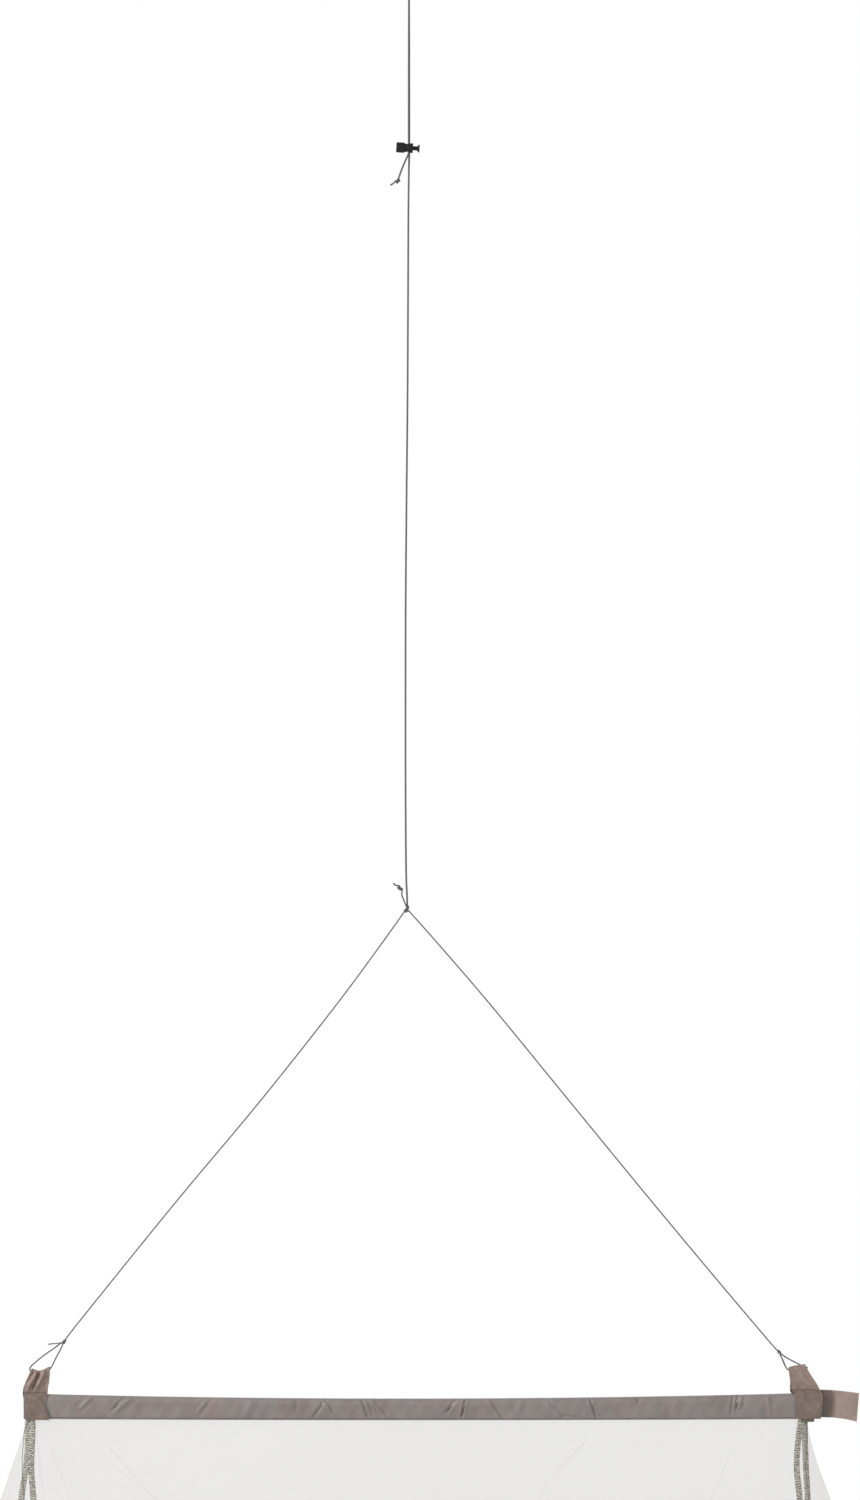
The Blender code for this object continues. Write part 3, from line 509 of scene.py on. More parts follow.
left_knot = tie(
    "left_loop_knot_strand",
    [
        (-0.33200, 0.0013, -1.3051),
        (-0.33040, 0.0011, -1.3040),
        *turns_round(
            bridle_line, (-0.32756, 0.0, -1.3024),
            start=-0.0016, end=0.0020, radius=0.00118, turns=2.5, first_turn=0.30,
        ),
        (-0.32690, -0.0021, -1.3018),
        (-0.32830, -0.0024, -1.3026),
        (-0.33080, -0.0021, -1.3034),
        (-0.33500, -0.0014, -1.3042),
        (-0.33900, -0.0010, -1.3045),
        (-0.34290, -0.0009, -1.3050),
    ],
    BRIDLE_CORD, "left_knot", loosen_start=0.002, loosen_end=0.008,
)
right_knot = tie(
    "right_loop_knot_strand",
    [
        (0.35330, 0.0008, -1.3165),
        (0.35230, 0.0011, -1.3143),
        *turns_round(
            bridle_line, (0.35140, 0.0, -1.3124),
            start=0.0014, end=-0.0020, radius=0.00118, turns=-2.5, first_turn=0.30,
        ),
        (0.35020, -0.0020, -1.3110),
        (0.35170, -0.0022, -1.3125),
        (0.35330, -0.0017, -1.3160),
        (0.35480, -0.0016, -1.3200),
        (0.35600, -0.0016, -1.3230),
        (0.35740, -0.0016, -1.3260),
    ],
    BRIDLE_CORD, "right_knot", loosen_start=0.002, loosen_end=0.008,
)
tail_stopper = tie(
    "tail_stopper",
    [
        (-0.00945, -0.0013, -0.1962),
        (-0.00980, -0.0013, -0.1976),
        *overhand((-0.01090, -0.0013, -0.1999), (-0.75, 0.0, -0.66), size=0.00070),
        (-0.01500, -0.0013, -0.2024),
        (-0.01780, -0.0013, -0.2040),
    ],
    MAIN_CORD, "tail_knot", loosen_start=0.002, loosen_end=0.004,
)


# Cord lock
# A barrel and a spring plunger moulded in black acetal, about 22 mm long. Both strands pass through a cross
# hole, and pressing the cap frees them. The lock hangs a little down at its cap.

LOCK_Z = -0.1686
LOCK_TILT = math.radians(3.4)
BARREL_PROFILE = (
    # place along the lock, radius, rounding of the corner
    (-0.0121, 0.0000, 0.0),
    (-0.0121, 0.0049, 0.0009),
    (-0.0104, 0.0049, 0.0002),
    (-0.0102, 0.0047, 0.0002),
    (-0.0098, 0.0047, 0.0002),
    (-0.0096, 0.0049, 0.0002),
    (-0.0046, 0.0049, 0.0006),
    (-0.0038, 0.0040, 0.0005),
    (-0.0009, 0.0040, 0.0003),
    (-0.0007, 0.0047, 0.0003),
    (0.0038, 0.0047, 0.0004),
    (0.0038, 0.0034, 0.0003),
    (-0.0065, 0.0034, 0.0),
    (-0.0065, 0.0000, 0.0),
)
PLUNGER_PROFILE = (
    (-0.0035, 0.0000, 0.0),
    (-0.0035, 0.0031, 0.0003),
    (0.0036, 0.0031, 0.0003),
    (0.0037, 0.0020, 0.0003),
    (0.0078, 0.0020, 0.0008),
    (0.0090, 0.0038, 0.0005),
    (0.0101, 0.0038, 0.0004),
    (0.0101, 0.0016, 0.0004),
    (0.0098, 0.0010, 0.0004),
    (0.0098, 0.0000, 0.0),
)
LATHE_SIDES = 64
CROSS_HOLE = (0.0030, 0.0046)
HOLE_CORNER = 0.0006
HOLE_HALF_HEIGHT = 0.0080
CORNER_STEPS = 6
PLUNGER_STROKE = 0.0015
HOLE_PLAY = 0.0001
SHARP_EDGE = math.radians(38)


def rounded(profile, steps=4):
    """A profile's points with each corner turned by its rounding."""
    points = []
    for before, here, after in zip((profile[0], *profile), profile, (*profile[1:], profile[-1])):
        corner = Vector(here[:2])
        if not here[2]:
            points.append(corner)
            continue
        start = corner + (Vector(before[:2]) - corner).normalized() * here[2]
        end = corner + (Vector(after[:2]) - corner).normalized() * here[2]
        for step in range(steps + 1):
            share = step / steps
            points.append(start.lerp(corner, share).lerp(corner.lerp(end, share), share))
    return points


def turned(name, profile):
    """A piece turned round the lock's own line."""
    bm = bmesh.new()
    rows = []
    for place, radius in rounded(profile):
        if radius < 1e-6:
            rows.append([bm.verts.new((place, 0.0, 0.0))])
            continue
        angles = [2 * math.pi * side / LATHE_SIDES for side in range(LATHE_SIDES)]
        rows.append([bm.verts.new((place, radius * math.cos(a), radius * math.sin(a))) for a in angles])
    for one, two in zip(rows, rows[1:]):
        for side in range(LATHE_SIDES):
            after = (side + 1) % LATHE_SIDES
            spots = ((one, side), (one, after), (two, after), (two, side))
            bm.faces.new(list(dict.fromkeys(row[place % len(row)] for row, place in spots)))
    bmesh.ops.recalc_face_normals(bm, faces=bm.faces)
    mesh = bpy.data.meshes.new(name)
    bm.to_mesh(mesh)
    bm.free()
    return add_object(name, mesh)


def hole_core(left, right):
    """The space of the cross hole, a block with its four upright corners rounded."""
    bm = bmesh.new()
    outline = []
    for quarter in range(4):
        x = right - HOLE_CORNER if quarter in (0, 3) else left + HOLE_CORNER
        y = (CROSS_HOLE[1] / 2 - HOLE_CORNER) * (1 if quarter < 2 else -1)
        for step in range(CORNER_STEPS + 1):
            angle = math.pi / 2 * (quarter + step / CORNER_STEPS)
            outline.append((x + HOLE_CORNER * math.cos(angle), y + HOLE_CORNER * math.sin(angle)))
    base = bm.faces.new([bm.verts.new((x, y, -HOLE_HALF_HEIGHT)) for x, y in outline])
    raised = bmesh.ops.extrude_face_region(bm, geom=[base])["geom"]
    tops = [item for item in raised if isinstance(item, bmesh.types.BMVert)]
    bmesh.ops.translate(bm, verts=tops, vec=(0.0, 0.0, 2 * HOLE_HALF_HEIGHT))
    bmesh.ops.recalc_face_normals(bm, faces=bm.faces)
    mesh = bpy.data.meshes.new("hole_core")
    bm.to_mesh(mesh)
    bm.free()
    return add_object("hole_core", mesh)


def plain_mesh(piece, name):
    """The evaluated mesh of an object, which is then removed."""
    bpy.context.view_layer.update()
    shown = piece.evaluated_get(bpy.context.evaluated_depsgraph_get())
    mesh = bpy.data.meshes.new_from_object(shown)
    mesh.name = name
    bpy.data.objects.remove(piece)
    return mesh


def drilled(name, profile, hole_right):
    """A turned piece with the cross hole through it, tilted and set at its height on the cord."""
    blank = turned(name + "_blank", profile)
    core = hole_core(-CROSS_HOLE[0] / 2, hole_right)
    modifier = blank.modifiers.new("cross_hole", "BOOLEAN")
    modifier.object = core
    mesh = plain_mesh(blank, name)
    bpy.data.objects.remove(core)
    tilt = Euler((0.0, LOCK_TILT, 0.0)).to_matrix().to_4x4()
    tilt.translation = (0.0, 0.0, LOCK_Z)
    mesh.transform(tilt)
    mesh.shade_smooth()
    mesh.set_sharp_from_angle(angle=SHARP_EDGE)
    return add_object(name, mesh)


# Moulded acetal: near-black, an eroded satin surface with a soft gloss and slightly polished high spots.
# The mould's texture is about 0.4 mm, the wear about 4 mm.
moulded_acetal, tree, shader = new_material("moulded_black_acetal")
place = add_node(tree, "ShaderNodeTexCoord")
pits, blotch_noise = (
    add_node(tree, "ShaderNodeTexNoise", {
        "Vector": place.outputs["Object"], "Scale": scale, "Detail": detail,
    })
    for scale, detail in ((2600.0, 3.0), (240.0, 4.0))
)
tone = add_node(tree, "ShaderNodeMix", {
    0: blotch_noise.outputs[0], 6: linear("#0D0D0E"), 7: linear("#1C1C1D"),
}, data_type="RGBA")
gloss = add_node(tree, "ShaderNodeMapRange", {0: blotch_noise.outputs[0], 1: 0.3, 2: 0.7, 3: 0.42, 4: 0.58})
relief = add_node(tree, "ShaderNodeBump", {"Height": pits.outputs[0], "Strength": 0.25, "Distance": 0.00008})
set_inputs(tree, shader, {
    "Base Color": tone.outputs[2], "Roughness": gloss.outputs[0], "Normal": relief.outputs[0],
    "IOR": 1.48, "Specular IOR Level": 0.30,
})

barrel = drilled("lock_body", BARREL_PROFILE, CROSS_HOLE[0] / 2)
finish_piece(barrel, moulded_acetal, "lock", "lock_barrel")
plunger = drilled("lock_button", PLUNGER_PROFILE, CROSS_HOLE[0] / 2 + PLUNGER_STROKE - HOLE_PLAY)
finish_piece(plunger, moulded_acetal, "lock", "lock_plunger", body="plunger")


# Spreader bar
# A slim pultruded fibreglass rod inside the sleeve, pale grey-green, with sanded ends. It bows a little
# under the net's pull.

SLEEVE_LEFT = -0.3657
SLEEVE_RIGHT = 0.3905
SLEEVE_TOP_LEFT = -1.3518
SLEEVE_TOP_RIGHT = -1.3509
SLEEVE_TOP_BOW = 0.0052
SLEEVE_BOTTOM = -1.3760
SLEEVE_BOTTOM_BOW = 0.0012
SLEEVE_TOP_RADIUS = 0.0053
SLEEVE_BOTTOM_RADIUS = 0.0028
ROD_RADIUS = 0.0040
ROD_END_INSET = 0.0030
ROD_ROUNDING = 0.0006
ROD_EASE = 0.3
ROD_RINGS = 42
ROD_SIDES = 32


def along_bar(x):
    """How far along the bar a place is, from 0 at its left end to 1."""
    return (x - SLEEVE_LEFT) / (SLEEVE_RIGHT - SLEEVE_LEFT)


def bow(x):
    """The bar's bend, from 0 at its ends to 1 in the middle."""
    return 1 - (2 * along_bar(x) - 1) ** 2


def sleeve_top(x):
    """The height of the sleeve's upper edge."""
    return SLEEVE_TOP_LEFT + (SLEEVE_TOP_RIGHT - SLEEVE_TOP_LEFT) * along_bar(x) - SLEEVE_TOP_BOW * bow(x)


def sleeve_bottom(x):
    """The height of the sleeve's lower edge."""
    return SLEEVE_BOTTOM - SLEEVE_BOTTOM_BOW * bow(x)


rod_ends = (SLEEVE_LEFT + ROD_END_INSET, SLEEVE_RIGHT - ROD_END_INSET)
rod_x = np.concatenate((
    [rod_ends[0], rod_ends[0] + ROD_ROUNDING * ROD_EASE, rod_ends[0] + ROD_ROUNDING],
    np.linspace(rod_ends[0], rod_ends[1], ROD_RINGS)[1:-1],
    [rod_ends[1] - ROD_ROUNDING, rod_ends[1] - ROD_ROUNDING * ROD_EASE, rod_ends[1]],
))
rod_radius = np.full(len(rod_x), ROD_RADIUS)
rod_radius[[0, -1]] = ROD_RADIUS - ROD_ROUNDING
rod_radius[[1, -2]] = ROD_RADIUS - ROD_ROUNDING * ROD_EASE
rod_turn = 2 * math.pi * np.arange(ROD_SIDES) / ROD_SIDES
rod_grid = np.zeros((len(rod_x), ROD_SIDES, 3))
rod_grid[..., 0] = rod_x[:, None]
rod_grid[..., 1] = rod_radius[:, None] * np.cos(rod_turn)
rod_grid[..., 2] = (sleeve_top(rod_x) - SLEEVE_TOP_RADIUS)[:, None] + rod_radius[:, None] * np.sin(rod_turn)
rod = add_object("spreader_bar", mesh_of_grid(
    "spreader_bar", rod_grid, True, lambda row, column: (rod_x[row], column / ROD_SIDES), caps=True
))

# Pultruded fibreglass: long glass strands, under 1 mm apart, just beneath a clear satin resin skin.
fibreglass, tree, shader = new_material("pultruded_fibreglass")
place = add_node(tree, "ShaderNodeTexCoord")
stretch = add_node(tree, "ShaderNodeMapping", {
    "Vector": place.outputs["Object"], "Scale": (12.0, 1500.0, 1500.0),
})
strands = add_node(tree, "ShaderNodeTexNoise", {"Vector": stretch.outputs[0], "Scale": 1.0, "Detail": 3.0})
tone = add_node(tree, "ShaderNodeMix", {
    0: strands.outputs[0], 6: linear("#8C8E84"), 7: linear("#B4B5A8"),
}, data_type="RGBA")
relief = add_node(tree, "ShaderNodeBump", {"Height": strands.outputs[0], "Strength": 0.2, "Distance": 0.0001})
set_inputs(tree, shader, {
    "Base Color": tone.outputs[2], "Normal": relief.outputs[0], "Roughness": 0.38,
})
finish_piece(rod, fibreglass, "rod", "spreader_rod")


# Sleeve
# A tube of plain-woven grey-taupe polyester round the bar, closed by a row of stitches along its lower edge,
# where the net is caught in. It is loose on the bar, so it lies in slanting drag creases.

SLEEVE_WALL = 0.0009
SLEEVE_FLAT = (0.756, 0.062)
PLAIN_STEP = 0.0025
CREASED_STEP = 0.0007
TOP_STEPS = 17
SIDE_STEPS = 14
BOTTOM_STEPS = 13
SLEEVE_STITCH_RISE = 0.0016
SLEEVE_STITCH_SINK = 0.0004
SLEEVE_STITCH_PITCH = 0.0024
SLEEVE_THREAD = 0.00022
STITCH_PINCH = 0.0006
STITCH_LEAN = 0.45
STITCHES_START = 0.0235
TAB_EDGES = (-0.343, 0.362)
TAB_HOLD = 0.008
CREASE_REACH = 3
CROWDING_STEP = 0.0001
FLAT_BOTTOM = 0.002
SHARP_FOLD = math.radians(50)
SLUBS_PER_METRE = 1400.0
TWISTS_PER_METRE = 2600.0
THREAD_PATCHES_PER_METRE = 420.0
CREASES = (
    # start along the bar, its fall from the top edge, end along the bar, its fall, half width, height
    (-0.3012, 0.05, -0.3126, 0.54, 0.0016, 0.00126),
    (-0.2689, 0.04, -0.2825, 0.62, 0.0013, -0.00154),
    (-0.2640, 0.10, -0.2760, 0.50, 0.0020, 0.00084),
    (-0.1906, 0.04, -0.2013, 0.68, 0.0015, 0.00112),
    (-0.3426, 0.62, -0.3319, 0.92, 0.0012, 0.00070),
    (-0.1500, 0.20, -0.1560, 0.80, 0.0030, 0.00070),
    (-0.1080, 0.02, -0.1060, 0.50, 0.0020, -0.00070),
    (-0.0817, 0.02, -0.0737, 0.66, 0.0010, 0.00098),
    (-0.0784, 0.03, -0.0911, 0.85, 0.0012, -0.00112),
    (-0.0445, 0.02, -0.0390, 0.86, 0.0013, -0.00126),
    (-0.0364, 0.06, -0.0211, 0.93, 0.0012, 0.00126),
    (-0.0352, 0.25, -0.0324, 0.66, 0.0009, 0.00070),
    (0.0449, 0.03, 0.0349, 0.64, 0.0012, -0.00168),
    (0.0536, 0.02, 0.0496, 0.88, 0.0010, -0.00210),
    (0.0738, 0.02, 0.0871, 0.96, 0.0014, 0.00126),
    (0.1070, 0.05, 0.1040, 0.60, 0.0026, 0.00070),
    (0.1338, 0.20, 0.1471, 0.80, 0.0013, -0.00112),
    (0.1471, 0.80, 0.1684, 0.92, 0.0013, -0.00098),
    (0.1718, 0.02, 0.1777, 0.93, 0.0010, -0.00140),
    (0.2184, 0.00, 0.2175, 0.30, 0.0010, -0.00098),
    (0.2560, 0.05, 0.2490, 0.60, 0.0030, 0.00070),
    (0.3078, 0.03, 0.3055, 0.76, 0.0012, -0.00112),
    (0.3125, 0.02, 0.3101, 0.58, 0.0011, -0.00182),
    (0.3170, 0.03, 0.3135, 0.52, 0.0010, 0.00098),
    (0.3401, 0.04, 0.3435, 0.85, 0.0016, 0.00084),
)
BILLOWS = (
    # height, waves along the bar and down the cloth in radians a metre, phase, wander
    (0.00045, 95.0, 120.0, 0.0, 0.6),
    (0.00034, 61.0, -210.0, 1.3, 0.8),
    (0.00028, 300.0, 150.0, 0.4, 2.2),
    (0.00019, 470.0, -260.0, 2.1, 3.0),
)
BILLOW_WANDER = 19
CREASE_ENDS = (-0.15, 1.12)
CREASE_FADES = (0.12, 0.30)
DIP_DEPTH = 0.35
DIP_PLACE = 2.2
DIP_WIDTH = 1.2
EDGE_STIFFNESS = 8


def sleeve_outline(x):
    """A drop-shaped ring at x: wide round the bar, narrow at the stitched lower edge."""
    top_centre = sleeve_top(x) - SLEEVE_TOP_RADIUS
    bottom_centre = sleeve_bottom(x) + SLEEVE_BOTTOM_RADIUS
    slant = math.asin((SLEEVE_TOP_RADIUS - SLEEVE_BOTTOM_RADIUS) / (top_centre - bottom_centre))
    ring = []
    for angle in np.linspace(-slant, math.pi + slant, TOP_STEPS):
        ring.append((math.cos(angle) * SLEEVE_TOP_RADIUS, top_centre + math.sin(angle) * SLEEVE_TOP_RADIUS))
    lower = []
    for angle in np.linspace(math.pi + slant, 2 * math.pi - slant, BOTTOM_STEPS):
        lower.append((math.cos(angle) * SLEEVE_BOTTOM_RADIUS,
                      bottom_centre + math.sin(angle) * SLEEVE_BOTTOM_RADIUS))
    shares = np.linspace(0.0, 1.0, SIDE_STEPS + 2)[1:-1, None]
    down = np.array(ring[-1]) * (1 - shares) + np.array(lower[0]) * shares
    up = np.array(lower[-1]) * (1 - shares) + np.array(ring[0]) * shares
    outline = np.concatenate((ring, down, lower, up))
    return np.column_stack((np.full(len(outline), x), outline))


def crease_depth(x, z):
    """How far the sleeve's cloth stands out (+) or sinks in (-) at a place on its face.

    Each crease is a ridge with a shallow dip on both sides, their places given in its half widths. It fades
    in and out at its ends, given as shares of its length. The cloth is held still at its two edges, by the
    tabs and along the row of stitches.
    """
    top, bottom = sleeve_top(x), sleeve_bottom(x)
    height = top - bottom
    fall = (top - z) / height
    lift = np.zeros_like(z)
    for start, start_fall, end, end_fall, half_width, crest in CREASES:
        run = np.array((end - start, (end_fall - start_fall) * height))
        span = np.hypot(*run)
        off = np.stack((x - start + 0 * z, (fall - start_fall) * height))
        along = (off[0] * run[0] + off[1] * run[1]) / span ** 2
        across = (off[0] * run[1] - off[1] * run[0]) / span / half_width
        begun = np.clip((along - CREASE_ENDS[0]) / CREASE_FADES[0], 0.0, 1.0)
        left = np.clip((CREASE_ENDS[1] - along) / CREASE_FADES[1], 0.0, 1.0)
        dips = DIP_DEPTH * np.exp(-((np.abs(across) - DIP_PLACE) / DIP_WIDTH) ** 2)
        lift += crest * (left * begun) * (np.exp(-across ** 2) - dips)
    slow = 0.0
    for crest, along, down, phase, wander in BILLOWS:
        stray = wander * math.sin(BILLOW_WANDER * x + phase)
        slow = slow + crest * np.sin(along * x + down * z + phase + stray)
    edge = np.clip(1 - (2 * fall - 1) ** EDGE_STIFFNESS, 0.0, 1.0)
    clear_of_tabs = (
        np.clip((x - TAB_EDGES[0]) / TAB_HOLD, 0.0, 1.0) * np.clip((TAB_EDGES[1] - x) / TAB_HOLD, 0.0, 1.0)
    )
    pinch = SLEEVE_STITCH_SINK * np.exp(-((z - bottom - SLEEVE_STITCH_RISE) / STITCH_PINCH) ** 2)
    return (lift + slow) * edge * clear_of_tabs - pinch


def behind(grid, thickness, wrap=False):
    """The grid of points a thickness behind a grid, square to it."""
    across = np.roll(grid, -1, 1) - np.roll(grid, 1, 1) if wrap else np.gradient(grid, axis=1)
    normal = np.cross(across, np.gradient(grid, axis=0))
    return grid - normal / np.linalg.norm(normal, axis=2)[..., None] * thickness


def sheet_solid(name, grid, back, wrap, run):
    """A closed sheet of cloth between a grid of points on its face and one on its back."""
    rows, columns = grid.shape[:2]
    front_number = np.arange(rows * columns).reshape(rows, columns)
    back_number = front_number + rows * columns
    faces, corners = [], []
    for row in range(rows - 1):
        for column in range(columns if wrap else columns - 1):
            spots = ((row, column), (row, column + 1), (row + 1, column + 1), (row + 1, column))
            faces.append([front_number[r, c % columns] for r, c in spots])
            faces.append([back_number[r, c % columns] for r, c in spots[::-1]])
            corners += [spots, spots[::-1]]
    if wrap:
        rims = [[(row, column) for column in range(columns + 1)] for row in (0, rows - 1)]
    else:
        rims = [[(0, column) for column in range(columns)] + [(row, columns - 1) for row in range(1, rows)]
                + [(rows - 1, column) for column in range(columns - 2, -1, -1)]
                + [(row, 0) for row in range(rows - 2, -1, -1)]]
    for rim in rims:
        for one, two in zip(rim, rim[1:]):
            faces.append((front_number[one[0], one[1] % columns], front_number[two[0], two[1] % columns],
                          back_number[two[0], two[1] % columns], back_number[one[0], one[1] % columns]))
            corners.append((one, two, two, one))
    mesh = bpy.data.meshes.new(name)
    mesh.from_pydata(np.concatenate((grid.reshape(-1, 3), back.reshape(-1, 3))).tolist(), [], faces)
    layer = mesh.uv_layers.new(name="cloth_run")
    flat = [(run[0] * c / max(columns - 1, 1), run[1] * r / (rows - 1)) for face in corners for r, c in face]
    layer.data.foreach_set("uv", np.array(flat, dtype=np.float32).ravel())
    bm = bmesh.new()
    bm.from_mesh(mesh)
    bmesh.ops.recalc_face_normals(bm, faces=bm.faces)
    bm.to_mesh(mesh)
    bm.free()
    mesh.shade_smooth()
    mesh.set_sharp_from_angle(angle=SHARP_FOLD)
    return mesh


def woven_cloth(name, shade, light, cast, threads, roughness, sheen, patch_scale):
    """Woven cloth: threads over and under each other, slubs along them and slow changes of tone and cast.

    threads is the spacing of its two threads, and patch_scale the number of patches in a metre. Its slubs
    are about 0.7 mm long.
    """
    made, tree, shader = new_material(name)
    place = add_node(tree, "ShaderNodeUVMap", uv_map="cloth_run")
    parts = add_node(tree, "ShaderNodeSeparateXYZ", {0: place.outputs[0]})
    waves = []
    for axis in (0, 1):
        run = add_node(tree, "ShaderNodeMath", {
            0: parts.outputs[axis], 1: math.pi / threads[axis],
        }, operation="MULTIPLY")
        waves.append(add_node(tree, "ShaderNodeMath", {0: run.outputs[0]}, operation="SINE"))
    weave = add_node(tree, "ShaderNodeMath", {
        0: waves[0].outputs[0], 1: waves[1].outputs[0],
    }, operation="MULTIPLY")
    over = add_node(tree, "ShaderNodeMapRange", {0: weave.outputs[0], 1: -1.0, 2: 1.0, 3: 0.35, 4: 0.65})
    solid = add_node(tree, "ShaderNodeTexCoord")
    patches = add_node(tree, "ShaderNodeTexNoise", {
        "Vector": solid.outputs["Object"], "Scale": patch_scale, "Detail": 5.0, "Roughness": 0.55,
    })
    fibres = add_node(tree, "ShaderNodeTexNoise", {
        "Vector": solid.outputs["Object"], "Scale": SLUBS_PER_METRE, "Detail": 2.0,
    })
    blend = add_node(tree, "ShaderNodeMath", {0: over.outputs[0], 1: patches.outputs[0]}, operation="ADD")
    mixed = add_node(tree, "ShaderNodeMath", {0: blend.outputs[0], 1: fibres.outputs[0]}, operation="ADD")
    share = add_node(tree, "ShaderNodeMapRange", {0: mixed.outputs[0], 1: 0.9, 2: 2.1})
    tone = add_node(tree, "ShaderNodeMix", {
        0: share.outputs[0], 6: linear(shade), 7: linear(light),
    }, data_type="RGBA")
    drift = add_node(tree, "ShaderNodeTexNoise", {
        "Vector": solid.outputs["Object"], "Scale": 1.7 * patch_scale, "Detail": 3.0,
    })
    spread = add_node(tree, "ShaderNodeMapRange", {0: drift.outputs[0], 1: 0.42, 2: 0.62, 3: 0.0, 4: 0.55})
    tinted = add_node(tree, "ShaderNodeMix", {
        0: spread.outputs[0], 6: tone.outputs[2], 7: linear(cast),
    }, data_type="RGBA")
    relief = add_node(tree, "ShaderNodeBump", {
        "Height": mixed.outputs[0], "Strength": 0.35, "Distance": 0.00012,
    })
    set_inputs(tree, shader, {
        "Base Color": tinted.outputs[2], "Normal": relief.outputs[0], "Roughness": roughness,
        "Sheen Weight": sheen, "Sheen Roughness": 0.4,
    })
    return made


def thread_tube(name, path, radius, sides=3):
    """A short length of thread along a path, closed at both ends."""
    line = np.array(path)
    across, over = turning_frames(line)
    angle = 2 * math.pi * np.arange(sides)[:, None] / sides
    ring = radius * (np.cos(angle) * across[:, None, :] + np.sin(angle) * over[:, None, :])
    return mesh_of_grid(name, line[:, None, :] + ring, True, lambda row, column: (row, column), caps=True)


def stitching_tree():
    """Geometry Nodes that set one shape along lines, turned to them and to the way the cloth faces."""
    tree = bpy.data.node_groups.new("stitches_along_lines", "GeometryNodeTree")
    tree.is_modifier = True
    sockets = {}
    for name, kind in (
        ("Lines", "Geometry"), ("Shape", "Object"), ("Pitch", "Float"), ("Sway", "Float"),
        ("Smallest", "Float"), ("Seed", "Int"), ("Finish", "Material"),
    ):
        sockets[name] = tree.interface.new_socket(name, in_out="INPUT", socket_type="NodeSocket" + kind)
    tree.interface.new_socket("Stitches", in_out="OUTPUT", socket_type="NodeSocketGeometry")
    given = add_node(tree, "NodeGroupInput").outputs
    curve = add_node(tree, "GeometryNodeMeshToCurve", {0: given["Lines"]})
    points = add_node(tree, "GeometryNodeCurveToPoints", {
        0: curve.outputs[0], 2: given["Pitch"],
    }, mode="LENGTH")
    facing = add_node(tree, "GeometryNodeInputNamedAttribute", {0: "facing"}, data_type="FLOAT_VECTOR")
    axes = add_node(tree, "FunctionNodeAxesToRotation", {
        0: points.outputs["Tangent"], 1: facing.outputs[0],
    }, primary_axis="X", secondary_axis="Z")
    least = add_node(tree, "ShaderNodeMath", {0: given["Sway"], 1: -1.0}, operation="MULTIPLY")
    turn = add_node(tree, "FunctionNodeRandomValue", {
        0: least.outputs[0], 1: given["Sway"], 8: given["Seed"],
    }, data_type="FLOAT_VECTOR")
    sway = add_node(tree, "FunctionNodeEulerToRotation", {0: turn.outputs[0]})
    turned = add_node(tree, "FunctionNodeRotateRotation", {
        0: axes.outputs[0], 1: sway.outputs[0],
    }, rotation_space="LOCAL")
    size = add_node(tree, "FunctionNodeRandomValue", {2: given["Smallest"], 3: 1.0, 8: given["Seed"]})
    shape = add_node(tree, "GeometryNodeObjectInfo", {0: given["Shape"]})
    copies = add_node(tree, "GeometryNodeInstanceOnPoints", {
        0: points.outputs[0], 2: shape.outputs["Geometry"], 5: turned.outputs[0], 6: size.outputs[1],
    })
    real = add_node(tree, "GeometryNodeRealizeInstances", {0: copies.outputs[0]})
    finish = add_node(tree, "GeometryNodeSetMaterial", {0: real.outputs[0], 2: given["Finish"]})
    add_node(tree, "NodeGroupOutput", {0: finish.outputs[0]})
    return tree, sockets


def stitched(name, lines, shape, pitch, material, slot_name, sway, smallest, seed):
    """A piece made of one small shape repeated along lines.

    Each line is a pair: its points, and the way the cloth faces at them. The shapes turn by up to sway
    radians and shrink to no less than smallest.
    """
    host_mesh = bpy.data.meshes.new(name + "_lines")
    points = np.concatenate([line[0] for line in lines])
    ends = np.cumsum([len(line[0]) for line in lines])
    edges = [(index, index + 1) for index in range(len(points) - 1) if index + 1 not in ends]
    host_mesh.from_pydata(points.tolist(), edges, [])
    facing = np.concatenate([np.broadcast_to(line[1], line[0].shape) for line in lines])
    layer = host_mesh.attributes.new("facing", "FLOAT_VECTOR", "POINT")
    layer.data.foreach_set("vector", facing.astype(np.float32).ravel())
    host = add_object(name + "_lines", host_mesh)
    pattern = add_object(name + "_shape", shape)
    modifier = host.modifiers.new("stitches", "NODES")
    modifier.node_group = STITCHING
    for socket, value in (
        ("Shape", pattern), ("Pitch", pitch), ("Sway", sway), ("Smallest", smallest), ("Seed", seed),
        ("Finish", material),
    ):
        modifier[STITCHING_SOCKETS[socket].identifier] = value
    mesh = plain_mesh(host, name)
    bpy.data.objects.remove(pattern)
    mesh.shade_smooth()
    return finish_piece(add_object(name, mesh), material, slot_name)


def polyester_thread(name, shade, light):
    """Spun polyester thread: a slightly fuzzy, twisted yarn that varies in tone along its run.

    Its twist is about 0.4 mm long, and its changes of tone about 2.4 mm.
    """
    made, tree, shader = new_material(name)
    place = add_node(tree, "ShaderNodeTexCoord")
    twist, patches = (
        add_node(tree, "ShaderNodeTexNoise", {
            "Vector": place.outputs["Object"], "Scale": scale, "Detail": detail,
        })
        for scale, detail in ((TWISTS_PER_METRE, 2.0), (THREAD_PATCHES_PER_METRE, 3.0))
    )
    blend = add_node(tree, "ShaderNodeMath", {0: twist.outputs[0], 1: patches.outputs[0]}, operation="ADD")
    share = add_node(tree, "ShaderNodeMapRange", {0: blend.outputs[0], 1: 0.65, 2: 1.35})
    tone = add_node(tree, "ShaderNodeMix", {
        0: share.outputs[0], 6: linear(shade), 7: linear(light),
    }, data_type="RGBA")
    relief = add_node(tree, "ShaderNodeBump", {
        "Height": twist.outputs[0], "Strength": 0.4, "Distance": 0.0001,
    })
    set_inputs(tree, shader, {
        "Base Color": tone.outputs[2], "Normal": relief.outputs[0], "Roughness": 0.75, "Sheen Weight": 0.2,
    })
    return made


STITCHING, STITCHING_SOCKETS = stitching_tree()

